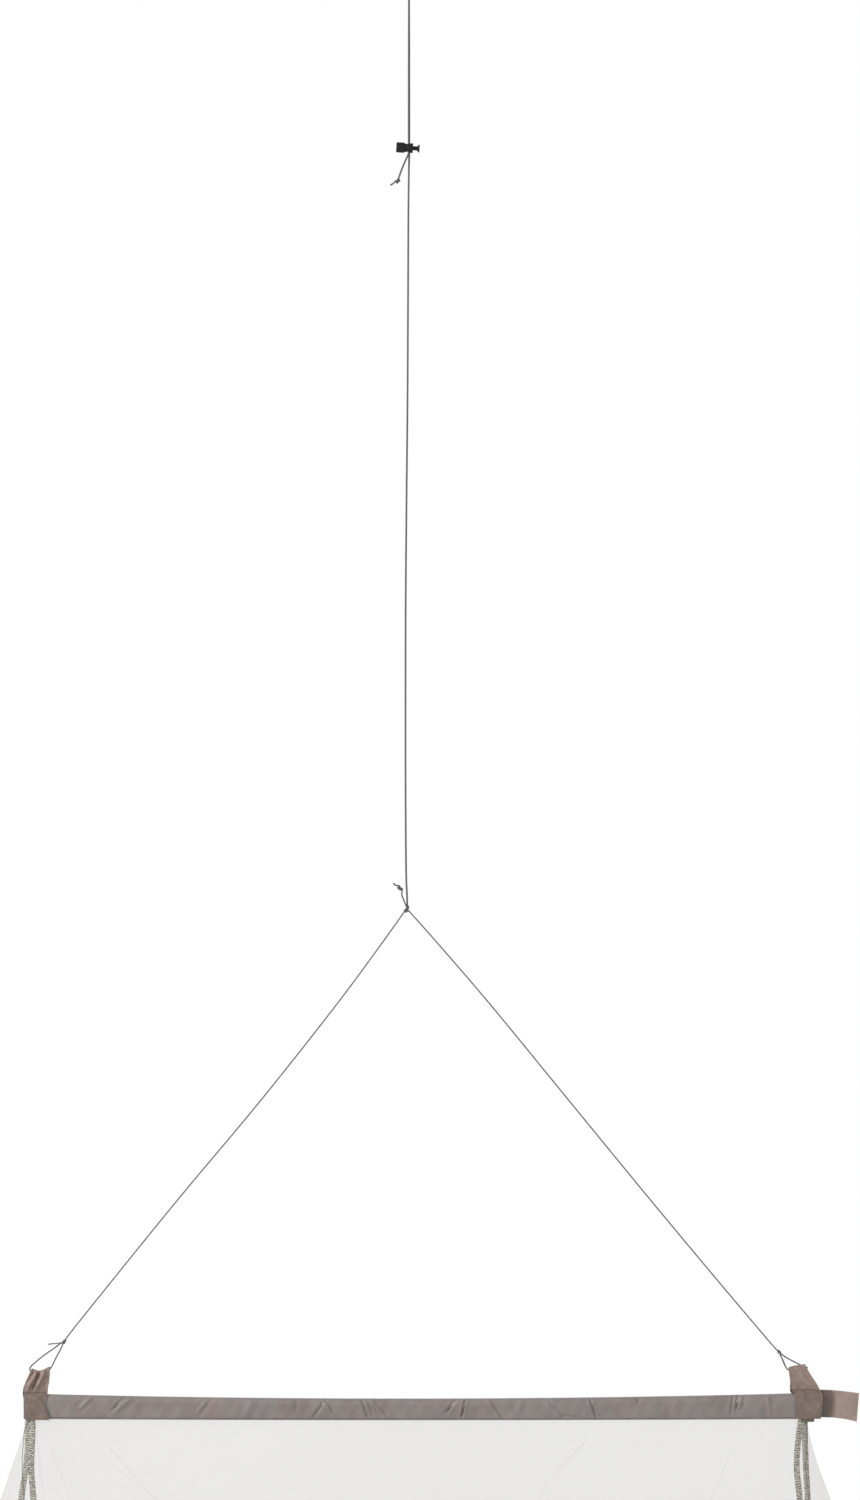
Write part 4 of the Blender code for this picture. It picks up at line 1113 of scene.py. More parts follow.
# The sleeve's rings stand close together at its creases and further apart between them.
fine = np.arange(SLEEVE_LEFT, SLEEVE_RIGHT, CROWDING_STEP)
creased = np.zeros(len(fine), dtype=bool)
for start, _, end, _, half_width, _ in CREASES:
    reach = CREASE_REACH * half_width
    creased |= (fine > min(start, end) - reach) & (fine < max(start, end) + reach)
crowd = np.where(creased, 1 / CREASED_STEP, 1 / PLAIN_STEP)
ring_count = round(float(crowd.sum() * CROWDING_STEP))
crowding = np.cumsum(crowd)
crowding = (crowding - crowding[0]) / (crowding[-1] - crowding[0])
ring_x = np.interp(np.linspace(0.0, 1.0, ring_count), crowding, fine)
ring_x[-1] = SLEEVE_RIGHT
sleeve_rings = []
for x in ring_x:
    ring = sleeve_outline(x)
    out = np.clip(np.abs(ring[:, 1]) / FLAT_BOTTOM, 0.0, 1.0)
    ring[:, 1] += np.sign(ring[:, 1]) * crease_depth(x, ring[:, 2]) * out
    sleeve_rings.append(ring)
sleeve_grid = np.array(sleeve_rings)
sleeve = add_object("sleeve_cloth", sheet_solid(
    "sleeve_cloth", sleeve_grid, behind(sleeve_grid, SLEEVE_WALL, True), True, SLEEVE_FLAT[::-1]
))

# Plain-woven polyester: a flat, cool grey-brown with a faint bloom. Its threads are drawn 0.4 mm apart, about
# twice their real spacing, so that they show.
polyester_cloth = woven_cloth(
    "plain_woven_polyester", "#665B58", "#9F938F", "#7F7E7C", (0.0004, 0.0004), 0.66, 0.20, 26.0
)
finish_piece(sleeve, polyester_cloth, "sleeve", "sleeve")

# Grey-brown thread, a shade darker than the cloth, so that the row of stitches reads as a dotted line.
dark_thread = polyester_thread("dark_spun_polyester_thread", "#2E2724", "#544A45")
STITCH_PATH = [
    (-0.00085, 0.0, -0.00030), (-0.00055, 0.0, 0.00006), (0.0, 0.0, 0.00014),
    (0.00055, 0.0, 0.00006), (0.00085, 0.0, -0.00030),
]
stitch_lines = []
for side in (-1, 1):
    line = []
    for ring in sleeve_rings[::4]:
        half = ring[TOP_STEPS - 1:TOP_STEPS + SIDE_STEPS + BOTTOM_STEPS // 2 + 1]
        z = sleeve_bottom(ring[0, 0]) + SLEEVE_STITCH_RISE
        if SLEEVE_LEFT + STITCHES_START < ring[0, 0] < SLEEVE_RIGHT - STITCHES_START:
            line.append((ring[0, 0], -side * np.interp(z, half[::-1, 2], half[::-1, 1]), z))
    stitch_lines.append((np.array(line), np.array((0.0, float(side), -STITCH_LEAN))))
sleeve_stitches = stitched(
    "sleeve_stitches", stitch_lines, thread_tube("stitch", STITCH_PATH, SLEEVE_THREAD, 4),
    SLEEVE_STITCH_PITCH, dark_thread, "sleeve", sway=0.05, smallest=0.9, seed=3,
)


# Webbing tabs
# A strip of soft satin-faced webbing, 25 mm wide, folded over the bridle's loop. Its two legs run down over
# the sleeve and are sewn to it. The cord pulls the top of the fold together, so it crumples.

WEBBING = 0.0010
TAB_FOLD_RADIUS = 0.0025
TAB_FLAT = (0.025, 0.104)
LEG_ROWS = 64
TAB_COLUMNS = 73
FOLD_ROWS = 13
TAB_LEGS = np.array((
    # drop below the fold's top, half depth of the leg
    (0.0025, 0.0025),
    (0.0060, 0.0029),
    (0.0095, 0.0032),
    (0.0130, 0.0034),
    (0.0170, 0.0035),
    (0.0222, 0.0034),
    (0.0247, 0.0046),
    (0.0270, 0.0060),
    (0.0300, 0.0065),
    (0.0335, 0.0061),
    (0.0380, 0.0054),
    (0.0440, 0.0045),
    (0.0482, 0.0042),
)).T
LEFT_TAB_OUTLINE = np.array((
    # drop, left edge, right edge
    (0.0000, -0.3583, -0.3411),
    (0.0060, -0.3611, -0.3414),
    (0.0120, -0.3639, -0.3420),
    (0.0180, -0.3657, -0.3427),
    (0.0222, -0.3653, -0.3431),
    (0.0285, -0.3643, -0.3446),
    (0.0329, -0.3642, -0.3459),
    (0.0378, -0.3641, -0.3449),
    (0.0422, -0.3640, -0.3430),
    (0.0482, -0.3639, -0.3412),
)).T
LEFT_TAB_TOP = (-1.3282, -1.3303, -1.3266)
LEFT_TAB_FOOT = 0.0482
RIGHT_TAB_OUTLINE = np.array((
    (0.0000, 0.3607, 0.3763),
    (0.0035, 0.3610, 0.3777),
    (0.0060, 0.3613, 0.3794),
    (0.0105, 0.3619, 0.3824),
    (0.0152, 0.3625, 0.3858),
    (0.0200, 0.3633, 0.3889),
    (0.0235, 0.3642, 0.3906),
    (0.0265, 0.3660, 0.3920),
    (0.0350, 0.3670, 0.3922),
    (0.0482, 0.3676, 0.3912),
)).T
RIGHT_TAB_TOP = (-1.3270, -1.3255, -1.3240)
RIGHT_TAB_FOOT = 0.0500
BACK_LEG_SHIFT = -0.0024
SHIFT_START = 0.015
SHIFT_FADE = 0.010
STITCH_DROP = 0.0226
STITCH_SINK = 0.0007
STITCH_WIDTH = 0.0009
FOOT_MARGIN = 0.0016
STITCH_INSET = 0.07
TAB_THREAD = 0.00020
TAB_STITCH_PITCH = 0.0022
STITCH_ROW_POINTS = 25
CRUMPLE_START = 0.003
SLACK = 0.0004
SLACK_HELD = 0.004
SLACK_WAVES = (7.0, 180.0)
SEWN_FROM = 0.0235
SEWN_FADE = 0.0015
SEWN_PAINTED_SHADE = 0.34
LEFT_FOLDS = (
    # place across the tab at its top, at the stitches, half width, height
    (0.04, 0.06, 0.09, 0.0010),
    (0.14, 0.02, 0.06, -0.0010),
    (0.29, 0.16, 0.07, 0.0026),
    (0.46, 0.34, 0.06, -0.0020),
    (0.72, 0.46, 0.09, 0.0027),
    (1.00, 0.80, 0.12, -0.0008),
)
RIGHT_FOLDS = (
    # the same for the right tab
    (0.10, 0.12, 0.10, 0.0004),
    (0.38, 0.52, 0.15, 0.0008),
    (0.66, 0.80, 0.10, -0.0005),
    (0.95, 0.95, 0.10, 0.0007),
)


def smoothly(where, places, values):
    """Values on a smooth curve through a table's rows."""
    slopes = np.gradient(values, places)
    index = np.clip(np.searchsorted(places, where) - 1, 0, len(places) - 2)
    span = places[index + 1] - places[index]
    share = np.clip((where - places[index]) / span, 0.0, 1.0)
    ease = share * share * (3 - 2 * share)
    start = slopes[index] * share * (1 - share) ** 2
    end = slopes[index + 1] * share * share * (share - 1)
    return values[index] * (1 - ease) + values[index + 1] * ease + span * (start + end)


def tab_grid(outline, tops, folds, foot):
    """Points of a tab from the foot of its front leg, over the fold, to the foot of its back leg.

    Its crumples are deepest at the fold and die out at the stitches, below which the cloth is only slack.
    """
    leg = np.linspace(0.0, 1.0, LEG_ROWS + 1)[:-1]
    fold = np.linspace(0.0, 1.0, FOLD_ROWS)
    drop = np.concatenate((
        foot + (TAB_FOLD_RADIUS - foot) * leg,
        TAB_FOLD_RADIUS * (1 - np.sin(math.pi * fold)),
        TAB_FOLD_RADIUS + (foot - TAB_FOLD_RADIUS) * (1 - leg[::-1]),
    ))[:, None]
    side = np.concatenate((-np.ones(LEG_ROWS), -np.cos(math.pi * fold), np.ones(LEG_ROWS)))[:, None]
    half = smoothly(drop, TAB_LEGS[0], TAB_LEGS[1])
    half -= STITCH_SINK * np.exp(-((drop - STITCH_DROP) / STITCH_WIDTH) ** 2)
    half -= 0.5 * STITCH_SINK * np.exp(-((drop - foot + FOOT_MARGIN) / STITCH_WIDTH) ** 2)
    u = np.linspace(0.0, 1.0, TAB_COLUMNS)[None, :]
    left = smoothly(drop, outline[0], outline[1])
    right = smoothly(drop, outline[0], outline[2])
    shift = np.where(side > 0, BACK_LEG_SHIFT, 0.0) * np.clip((drop - SHIFT_START) / SHIFT_FADE, 0.0, 1.0)
    x = left + (right - left) * u + shift
    level = sum(tops) / 3
    top = smoothly(u, np.array((0.0, 0.4, 1.0)), np.array(tops))
    z = top + (level - top) * np.minimum(1.0, drop / STITCH_DROP) - drop
    fallen = np.clip(drop / STITCH_DROP, 0.0, 1.0)
    strength = np.sqrt(np.clip(drop / CRUMPLE_START, 0.0, 1.0)) * np.clip((1 - fallen) * 3, 0.0, 1.0)
    wave = np.zeros_like(x)
    for start, end, width, height in folds:
        wave += height * np.exp(-((u - start - (end - start) * fallen) / width) ** 2)
    held = np.clip((drop - STITCH_DROP) / SLACK_HELD, 0.0, 1.0)
    held = held * np.clip((foot - drop) / SLACK_HELD, 0.0, 1.0)
    slack = SLACK * held * np.sin(SLACK_WAVES[0] * u + SLACK_WAVES[1] * drop + 14 * level * side)
    return np.stack((x, side * (half + strength * wave + slack), z), axis=-1)


# Satin webbing: fine weft ribs under a soft sheen, rosier where the floats catch the light. The lower part,
# sewn flat over the sleeve, has painted shade: darker, greyer and in random patches. Its threads are 0.5 and
# 0.3 mm apart.
satin_webbing = woven_cloth(
    "woven_satin_webbing", "#524138", "#AD9489", "#75685D", (0.0005, 0.0003), 0.34, 0.30, 110.0
)
tree = satin_webbing.node_tree
shader = tree.nodes["Principled BSDF"]
place = add_node(tree, "ShaderNodeUVMap", uv_map="cloth_run")
parts = add_node(tree, "ShaderNodeSeparateXYZ", {0: place.outputs[0]})
# Painted shade: below the stitches the legs are mixed toward a dark grey, more in some patches than in
# others.
past_fold = add_node(tree, "ShaderNodeMath", {0: parts.outputs[1], 1: TAB_FLAT[1] / 2}, operation="SUBTRACT")
from_fold = add_node(tree, "ShaderNodeMath", {0: past_fold.outputs[0]}, operation="ABSOLUTE")
painted_shade_below_stitches = add_node(tree, "ShaderNodeMapRange", {
    0: from_fold.outputs[0], 1: SEWN_FROM, 2: SEWN_FROM + SEWN_FADE, 3: 0.0, 4: SEWN_PAINTED_SHADE,
})
blotch_noise = add_node(tree, "ShaderNodeTexNoise", {"Vector": place.outputs[0], "Scale": 260.0, "Detail": 3.0})
mottled_shading = add_node(tree, "ShaderNodeMapRange", {0: blotch_noise.outputs[0], 1: 0.36, 2: 0.64, 3: 0.55, 4: 1.45})
patchy_painted_shade = add_node(tree, "ShaderNodeMath", {0: painted_shade_below_stitches.outputs[0], 1: mottled_shading.outputs[0]}, operation="MULTIPLY")
painted_shade_tone = add_node(tree, "ShaderNodeMix", {
    0: patchy_painted_shade.outputs[0], 6: shader.inputs["Base Color"].links[0].from_socket, 7: linear("#4A443F"),
}, data_type="RGBA")
set_inputs(tree, shader, {"Base Color": painted_shade_tone.outputs[2], "Specular IOR Level": 0.75})

# Brown thread near the webbing's own colour, so that its stitches show quietly.
webbing_thread = polyester_thread("brown_spun_polyester_thread", "#40332C", "#6E5C52")


def on_cloth(grid, rows, columns):
    """Points on a grid at fractional rows and columns, and the way the cloth faces there."""
    normal = np.cross(np.gradient(grid, axis=1), np.gradient(grid, axis=0))
    normal /= np.linalg.norm(normal, axis=2)[..., None]
    rows, columns = np.broadcast_arrays(np.asarray(rows, float), np.asarray(columns, float))
    row = np.minimum(rows.astype(int), grid.shape[0] - 2)
    column = np.minimum(columns.astype(int), grid.shape[1] - 2)
    down, over = (rows - row)[:, None], (columns - column)[:, None]
    return tuple(
        (values[row, column] * (1 - down) + values[row + 1, column] * down) * (1 - over)
        + (values[row, column + 1] * (1 - down) + values[row + 1, column + 1] * down) * over
        for values in (grid, normal)
    )


for side, outline, tops, folds, foot in (
    ("left", LEFT_TAB_OUTLINE, LEFT_TAB_TOP, LEFT_FOLDS, LEFT_TAB_FOOT),
    ("right", RIGHT_TAB_OUTLINE, RIGHT_TAB_TOP, RIGHT_FOLDS, RIGHT_TAB_FOOT),
):
    name = "webbing_tab_" + side
    middle = tab_grid(outline, tops, folds, foot)
    face = behind(middle, -WEBBING / 2)
    tab = add_object(name, sheet_solid(name, face, behind(middle, WEBBING / 2), False, TAB_FLAT))
    finish_piece(tab, satin_webbing, "webbing", "tab_" + side)
    upper, lower = (
        LEG_ROWS * (foot - drop) / (foot - TAB_FOLD_RADIUS) for drop in (STITCH_DROP, foot - FOOT_MARGIN)
    )
    last_row, last_column = face.shape[0] - 1, face.shape[1] - 1
    stitch_lines = []
    for leg in (lambda row: row, lambda row: last_row - row):
        across = last_column * np.linspace(STITCH_INSET, 1 - STITCH_INSET, STITCH_ROW_POINTS)
        down = np.linspace(upper, lower, STITCH_ROW_POINTS)
        for row in (upper, lower):
            stitch_lines.append(on_cloth(face, leg(row), across))
        for share in (STITCH_INSET, 1 - STITCH_INSET):
            stitch_lines.append(on_cloth(face, leg(down), last_column * share))
    stitches = stitched(
        "tab_stitches_" + side, stitch_lines, thread_tube("stitch", STITCH_PATH, TAB_THREAD, 4),
        TAB_STITCH_PITCH, webbing_thread, "webbing", sway=0.06, smallest=0.9, seed=5,
    )


# Closing flap
# Two short strips of webbing stand out past the sleeve's right end: a smooth one in front, cut off short,
# and a ribbed one behind it that reaches 37 mm out and droops.

FLAP_START = 0.3908
FLAP_END = 0.4278
FLAP_STUB_END = 0.4008
STUB_BULGE = 0.0022
FLAP_THICKNESS = 0.0016
FLAP_TOP = -1.3483
FLAP_BOTTOM = -1.3742
FLAP_TOP_FALL = 0.0037
FLAP_BOTTOM_FALL = 0.0048
FLAP_SLANT = 0.0022
FLAP_Y = 0.0012
FLAP_LEAN = 0.0040
FLAP_UPRIGHT = 0.6
FLAP_RIPPLE = 0.0005
FLAP_DROOP = (1.7, 2)
CLEARANCE = 0.0003
RIB_PITCH = 0.0012
RIB_HEIGHT = 0.00013
RIM_WIDTH = 0.0009
RIM_DROP = 0.045
RIM_SPREAD = 0.03
RIM_HEIGHT = 1.5
FLAP_ROWS = 30
RIBBED_COLUMNS = 248
SMOOTH_COLUMNS = 40


def flap_grid(end, bulge, y_start, rib_height, columns):
    """One face of a strip, with its ribs and a thicker rim along its top and its free end."""
    u, v = np.meshgrid(np.linspace(0.0, 1.0, columns), np.linspace(0.0, 1.0, FLAP_ROWS))
    x = FLAP_START + (end - FLAP_START) * u
    out = (x - FLAP_START) / (FLAP_END - FLAP_START)
    top = FLAP_TOP - FLAP_TOP_FALL * out ** FLAP_DROOP[0]
    bottom = FLAP_BOTTOM - FLAP_BOTTOM_FALL * out ** FLAP_DROOP[1]
    rim = np.exp(-((v - RIM_DROP) / RIM_SPREAD) ** 2) + np.exp(-((end - x) / RIM_WIDTH) ** 2)
    y = y_start + FLAP_LEAN * out * out * (1 - FLAP_UPRIGHT * v) + FLAP_RIPPLE * np.sin(5 * out + 3 * v)
    y -= rib_height * (np.cos(2 * math.pi * (x - FLAP_START) / RIB_PITCH) + RIM_HEIGHT * rim)
    x = x + bulge * np.sin(math.pi * v) * u - FLAP_SLANT * v * out * u
    return np.stack((x, y, top + (bottom - top) * v), axis=-1)


# Ribbed polyester webbing: pale upright ribs 1.2 mm apart, matt, with a little bloom on their crowns.
ribbed_webbing = woven_cloth(
    "ribbed_webbing", "#7A675B", "#BDA89C", "#96877B", (0.0006, 0.0004), 0.62, 0.25, 45.0
)

# Smooth webbing: the same yarn without ribs, painted darker as shade, so it reads as a dark, slightly shiny
# band.
smooth_webbing = woven_cloth(
    "smooth_webbing_painted_shade", "#4A3D34", "#85726A", "#62564D", (0.0005, 0.0003), 0.50, 0.30, 50.0
)

for name, end, bulge, y_start, rib, columns, finish, node in (
    ("flap_ribbed", FLAP_END, 0.0, FLAP_Y, RIB_HEIGHT, RIBBED_COLUMNS, ribbed_webbing, "flap"),
    (
        "flap_smooth", FLAP_STUB_END, STUB_BULGE, FLAP_Y - FLAP_THICKNESS - CLEARANCE, 0.0, SMOOTH_COLUMNS,
        smooth_webbing, "flap_stub",
    ),
):
    flat = (end - FLAP_START, FLAP_TOP - FLAP_BOTTOM)
    face = flap_grid(end, bulge, y_start - FLAP_THICKNESS / 2, rib, columns)
    back = flap_grid(end, bulge, y_start + FLAP_THICKNESS / 2, -rib, columns)
    flap = add_object(name, sheet_solid(name, face, back, False, flat))
    finish_piece(flap, finish, "webbing", node)


# Seams
# Four overlocked seams join the panels to the end gores. The net's raw edges are turned in and bound with
# loops of woolly cream thread. A bar of close stitches fixes the right-hand seams under the sleeve.

NET_DROP = 1.500
HEM_Z = SLEEVE_BOTTOM - NET_DROP
TOP_HALF_DEPTH = 0.0022
DEPTH_SLOPE = 0.28
SEAM_WIDTH = 0.0050
STRIP_HALF_DEPTH = 0.0006
SEAM_SETTLE = 0.020
SEAMS = {
    # name: place along the bar at the sleeve, after it settles, at the hem
    "front_left": (-0.3570, -0.3556, -0.335),
    "back_left": (-0.3629, -0.3685, -0.420),
    "front_right": (0.3743, 0.3690, 0.350),
    "back_right": (0.3781, 0.3790, 0.410),
}
SEAM_SWAY = np.array((
    # drop, then how far each seam strays along the bar, in the order above
    (-0.0010, -0.0006, 0.0008, -0.0019, -0.0019),
    (0.0200, -0.0018, 0.0046, -0.0016, -0.0024),
    (0.0400, -0.0029, 0.0052, -0.0018, -0.0021),
    (0.0770, -0.0007, 0.0014, 0.0018, -0.0004),
    (0.1300, 0.0004, -0.0008, -0.0006, 0.0006),
    (0.2200, 0.0006, 0.0006, 0.0008, -0.0008),
    (0.4000, -0.0010, 0.0012, -0.0010, 0.0010),
    (0.7500, 0.0014, -0.0016, 0.0012, -0.0014),
    (1.5000, 0.0000, 0.0000, 0.0000, 0.0000),
)).T
NET_RISE = 0.0006
LOOP_PITCH = 0.0023
LOOP_THREAD = 0.00125
LOOP_REACH = 0.0031
STRIP_HALF_WIDTH = 0.0027
LOOP_RISE = 0.0007
LOOP_SLANT = 0.0011
LOOP_POINTS = 8
SEAM_ROWS = 251
STRIP_SIDES = 12
STRIP_FLATNESS = 0.6
BARTACK_THREAD = 0.00042
BARTACK_PITCH = 0.0006
BARTACK_LINE = (
    # place along the bar, half depth, height
    (0.3728, 0.0036, -1.3764),
    (0.3785, 0.0038, -1.3770),
    (0.3845, 0.0036, -1.3768),
)


def net_top(x):
    """The height at which the net starts under the sleeve."""
    return sleeve_bottom(np.clip(x, SLEEVE_LEFT, SLEEVE_RIGHT)) - CLEARANCE


def half_depth(drop):
    """Half the canopy's depth at a drop below the sleeve."""
    return TOP_HALF_DEPTH + DEPTH_SLOPE * drop


def seam_x(name, drop):
    """A seam's place along the bar at a drop below the sleeve."""
    top, settled, hem = SEAMS[name]
    sway = smoothly(np.asarray(drop, float), SEAM_SWAY[0], SEAM_SWAY[1 + list(SEAMS).index(name)])
    settling = (settled - top) * (1 - np.exp(-drop / SEAM_SETTLE))
    return top + settling + (hem - settled) * drop / NET_DROP + sway


# The turned-in edges: net folded on itself several times, so it is dense, dull and olive, with cells about
# 1 mm apart.
folded_net_edge = woven_cloth(
    "folded_net_edge", "#3C3930", "#8A8577", "#66625A", (0.0011, 0.0011), 0.85, 0.10, 210.0
)

# Woolly overlock thread: soft, bulky and cream, in slack loops with shadow between them.
overlock_thread = polyester_thread("woolly_overlock_thread", "#8C877B", "#F6F3EB")

# One slack loop for each of the two overlock rows, which slant opposite ways.
turn = 2 * math.pi * np.linspace(0.0, 1.0, LOOP_POINTS)
loop_paths = [
    np.stack((
        LOOP_PITCH * (turn / (2 * math.pi) - 0.5) + slant * np.cos(turn),
        LOOP_REACH * np.cos(turn),
        LOOP_RISE * np.sin(turn),
    ), axis=1)
    for slant in (LOOP_SLANT, -LOOP_SLANT)
]
seam_drop = np.linspace(-NET_RISE, NET_DROP, SEAM_ROWS)
strip_turn = 2 * math.pi * np.arange(STRIP_SIDES) / STRIP_SIDES
flattened = np.sign(np.cos(strip_turn)) * np.abs(np.cos(strip_turn)) ** STRIP_FLATNESS
strip_ring = np.stack((
    STRIP_HALF_WIDTH * flattened, -STRIP_HALF_DEPTH * np.sin(strip_turn), np.zeros(STRIP_SIDES),
), axis=1)
for seed, name in enumerate(SEAMS):
    side = -1.0 if name.startswith("front") else 1.0
    x = seam_x(name, seam_drop)
    top = net_top(x)
    line = np.stack((x, side * half_depth(seam_drop), top + (HEM_Z - top) * seam_drop / NET_DROP), axis=1)
    strip = add_object("seam_edge_" + name, mesh_of_grid(
        "seam_edge_" + name, line[:, None, :] + strip_ring, True,
        lambda row, column: (2 * SEAM_WIDTH * column / STRIP_SIDES, seam_drop[row]), caps=True,
    ))
    finish_piece(strip, folded_net_edge, "seam", "seam_" + name)
    loops = [
        stitched(
            f"seam_loops_{name}_{number}", [(line, np.array((0.0, side, 0.0)))],
            thread_tube("loop", path, LOOP_THREAD / 2), LOOP_PITCH, overlock_thread, "seam",
            sway=0.26, smallest=0.78, seed=2 * seed + number,
        )
        for number, path in enumerate(loop_paths)
    ]

# Olive thread: dark and dull, for the bar of stitches and the row beside each seam.
olive_thread = polyester_thread("olive_polyester_thread", "#4F4A39", "#7B7561")
BARTACK_PATH = [(0.0, -0.0015, -0.0004), (0.0, -0.0008, 0.0), (0.0, 0.0008, 0.0), (0.0, 0.0015, -0.0004)]
stitched(
    "seam_bartack",
    [
        (np.array(BARTACK_LINE) * (1.0, side, 1.0), np.array((0.0, side, 0.0)))
        for side in (-1.0, 1.0)
    ],
    thread_tube("bar_thread", BARTACK_PATH, BARTACK_THREAD, 5), BARTACK_PITCH, olive_thread, "seam",
    sway=0.06, smallest=0.85, seed=7,
)


# Net
# Fine polyester netting, pale grey and very sheer, sewn to the sleeve's lower edge: a front panel, a back
# panel and two flared gores. It falls 1.5 m in soft folds to a hem turned up 15 mm.

HEM_HEIGHT = 0.015
HEM_GAP = 0.0012
HEM_ROWS = 5
HEM_STITCH_PITCH = 0.0034
HEM_THREAD = 0.00022
HEM_THREAD_RISE = 0.0002
NET_TOP_DEPTH = 0.12
NET_TOP_ROWS = 41
NET_LOWER_ROWS = 112
GORE_START = 0.006
GORE_BULGE_START = 0.0030
GORE_SLOPE = 0.290
GORE_FLAT = (1.36, 1.58)
GORE_COLUMNS = 101
GORE_STITCH_REACH = 0.0072
GORE_THREAD = 0.0003
NET_UNDER_SEAM = 0.0010
FLUTE_DEPTH = 0.026
PANEL_FLUTES = 5.0
GORE_FLUTES = 4.5
FLUTE_GROWTH = 1.15
FLUTE_DRIFTS = (0.035, 0.015)
FLUTE_STRENGTHS = (0.72, 0.28)
EDGE_SHARE = 6
PANEL_CROWN = 0.05
NET_COVER = 0.198
CELLS_PER_METRE = 850.0
LEAST_FACING = 0.38
CREASE_HALF_WIDTH = 0.0016
NET_CREASES = (
    # start along the bar, its drop, end along the bar, its drop, strength
    (-0.3543, 0.004, -0.3449, 0.078, 0.9),
    (-0.3410, 0.022, -0.3190, 0.078, 0.7),
    (-0.2935, 0.016, -0.2360, 0.078, 0.6),
    (-0.3000, 0.030, -0.1700, 0.120, 0.4),
    (0.1720, 0.016, 0.1290, 0.060, 0.6),
    (0.1290, 0.060, 0.1010, 0.140, 0.5),
    (0.3100, 0.020, 0.2700, 0.110, 0.4),
)

# Netting: threads far finer than a pixel, so it is a see-through skin. It is denser where a fold's flank
# turns away and along its small creases. Its cells are drawn about 1.2 mm apart, near their real size, and
# only as a faint unevenness.
tulle, tree, shader = new_material("polyester_netting")
place = add_node(tree, "ShaderNodeUVMap", uv_map="cloth_run")
cells = add_node(tree, "ShaderNodeTexVoronoi", {
    "Vector": place.outputs[0], "Scale": CELLS_PER_METRE, "Randomness": 0.25,
}, feature="DISTANCE_TO_EDGE", voronoi_dimensions="2D")
threads = add_node(tree, "ShaderNodeMapRange", {0: cells.outputs[0], 1: 0.0, 2: 0.25, 3: 1.14, 4: 0.94})
close = add_node(tree, "ShaderNodeAttribute", attribute_name="closeness")
solid = add_node(tree, "ShaderNodeTexCoord")
slow = add_node(tree, "ShaderNodeTexNoise", {"Vector": solid.outputs["Object"], "Scale": 9.0, "Detail": 4.0})
uneven = add_node(tree, "ShaderNodeMapRange", {0: slow.outputs[0], 1: 0.3, 2: 0.7, 3: 0.92, 4: 1.08})
dense = add_node(tree, "ShaderNodeMath", {
    0: threads.outputs[0], 1: close.outputs["Fac"],
}, operation="MULTIPLY")
denser = add_node(tree, "ShaderNodeMath", {0: dense.outputs[0], 1: uneven.outputs[0]}, operation="MULTIPLY")
lines = None
for start, start_drop, end, end_drop, strength in NET_CREASES:
    start_z, end_z = SLEEVE_BOTTOM - start_drop, SLEEVE_BOTTOM - end_drop
    set_along = add_node(tree, "ShaderNodeMapping", {
        "Vector": solid.outputs["Object"], "Location": (start, 0.0, start_z),
        "Rotation": (0.0, -math.atan2(end_z - start_z, end - start), 0.0),
    }, vector_type="TEXTURE")
    run = add_node(tree, "ShaderNodeSeparateXYZ", {0: set_along.outputs[0]})
    length = math.hypot(end - start, end_z - start_z)
    off = add_node(tree, "ShaderNodeMath", {0: run.outputs[2]}, operation="ABSOLUTE")
    thin = add_node(tree, "ShaderNodeMapRange", {
        0: off.outputs[0], 1: 0.0, 2: CREASE_HALF_WIDTH, 3: strength, 4: 0.0,
    }, interpolation_type="SMOOTHSTEP")
    begun = add_node(tree, "ShaderNodeMapRange", {0: run.outputs[0], 1: 0.0, 2: 0.2 * length})
    ended = add_node(tree, "ShaderNodeMapRange", {
        0: run.outputs[0], 1: 0.7 * length, 2: 1.1 * length, 3: 1.0, 4: 0.0,
    })
    kept = add_node(tree, "ShaderNodeMath", {0: begun.outputs[0], 1: ended.outputs[0]}, operation="MULTIPLY")
    drawn = add_node(tree, "ShaderNodeMath", {0: thin.outputs[0], 1: kept.outputs[0]}, operation="MULTIPLY")
    lines = drawn if lines is None else add_node(tree, "ShaderNodeMath", {
        0: lines.outputs[0], 1: drawn.outputs[0],
    }, operation="ADD")
sides = add_node(tree, "ShaderNodeSeparateXYZ", {0: solid.outputs["Object"]})
in_front = add_node(tree, "ShaderNodeMath", {0: sides.outputs[1], 1: 0.0}, operation="LESS_THAN")
folded = add_node(tree, "ShaderNodeMath", {0: lines.outputs[0], 1: in_front.outputs[0]}, operation="MULTIPLY")
creased = add_node(tree, "ShaderNodeMath", {0: denser.outputs[0], 1: folded.outputs[0]}, operation="ADD")
cover = add_node(tree, "ShaderNodeMath", {0: creased.outputs[0], 1: NET_COVER}, operation="MULTIPLY")
tone = add_node(tree, "ShaderNodeMix", {
    0: slow.outputs[0], 6: linear("#B3B1AD"), 7: linear("#C4C2BE"),
}, data_type="RGBA")
set_inputs(tree, shader, {"Base Color": tone.outputs[2], "Alpha": cover.outputs[0], "Roughness": 0.85})

# Pale grey thread, a little darker than the net, for its hem.
pale_thread = polyester_thread("pale_grey_polyester_thread", "#8F8C84", "#B8B5AD")


def flutes(u, drop, count, shift):
    """Soft, uneven, upright folds that deepen from the sleeve to the hem and die out at the seams."""
    grown = (np.maximum(drop, 0.0) / NET_DROP) ** FLUTE_GROWTH
    uneven = u + FLUTE_DRIFTS[0] * np.sin(2 * math.pi * (u + shift))
    uneven = uneven + FLUTE_DRIFTS[1] * np.sin(6 * math.pi * u + shift)
    wave = np.sin(2 * math.pi * (count * uneven + shift))
    strength = FLUTE_STRENGTHS[0] + FLUTE_STRENGTHS[1] * np.sin(2 * math.pi * (1.6 * u + shift))
    near_edge = np.minimum(1.0, np.minimum(EDGE_SHARE * u, EDGE_SHARE * (1 - u)))
    return FLUTE_DEPTH * grown * wave * strength * near_edge * near_edge * (3 - 2 * near_edge)


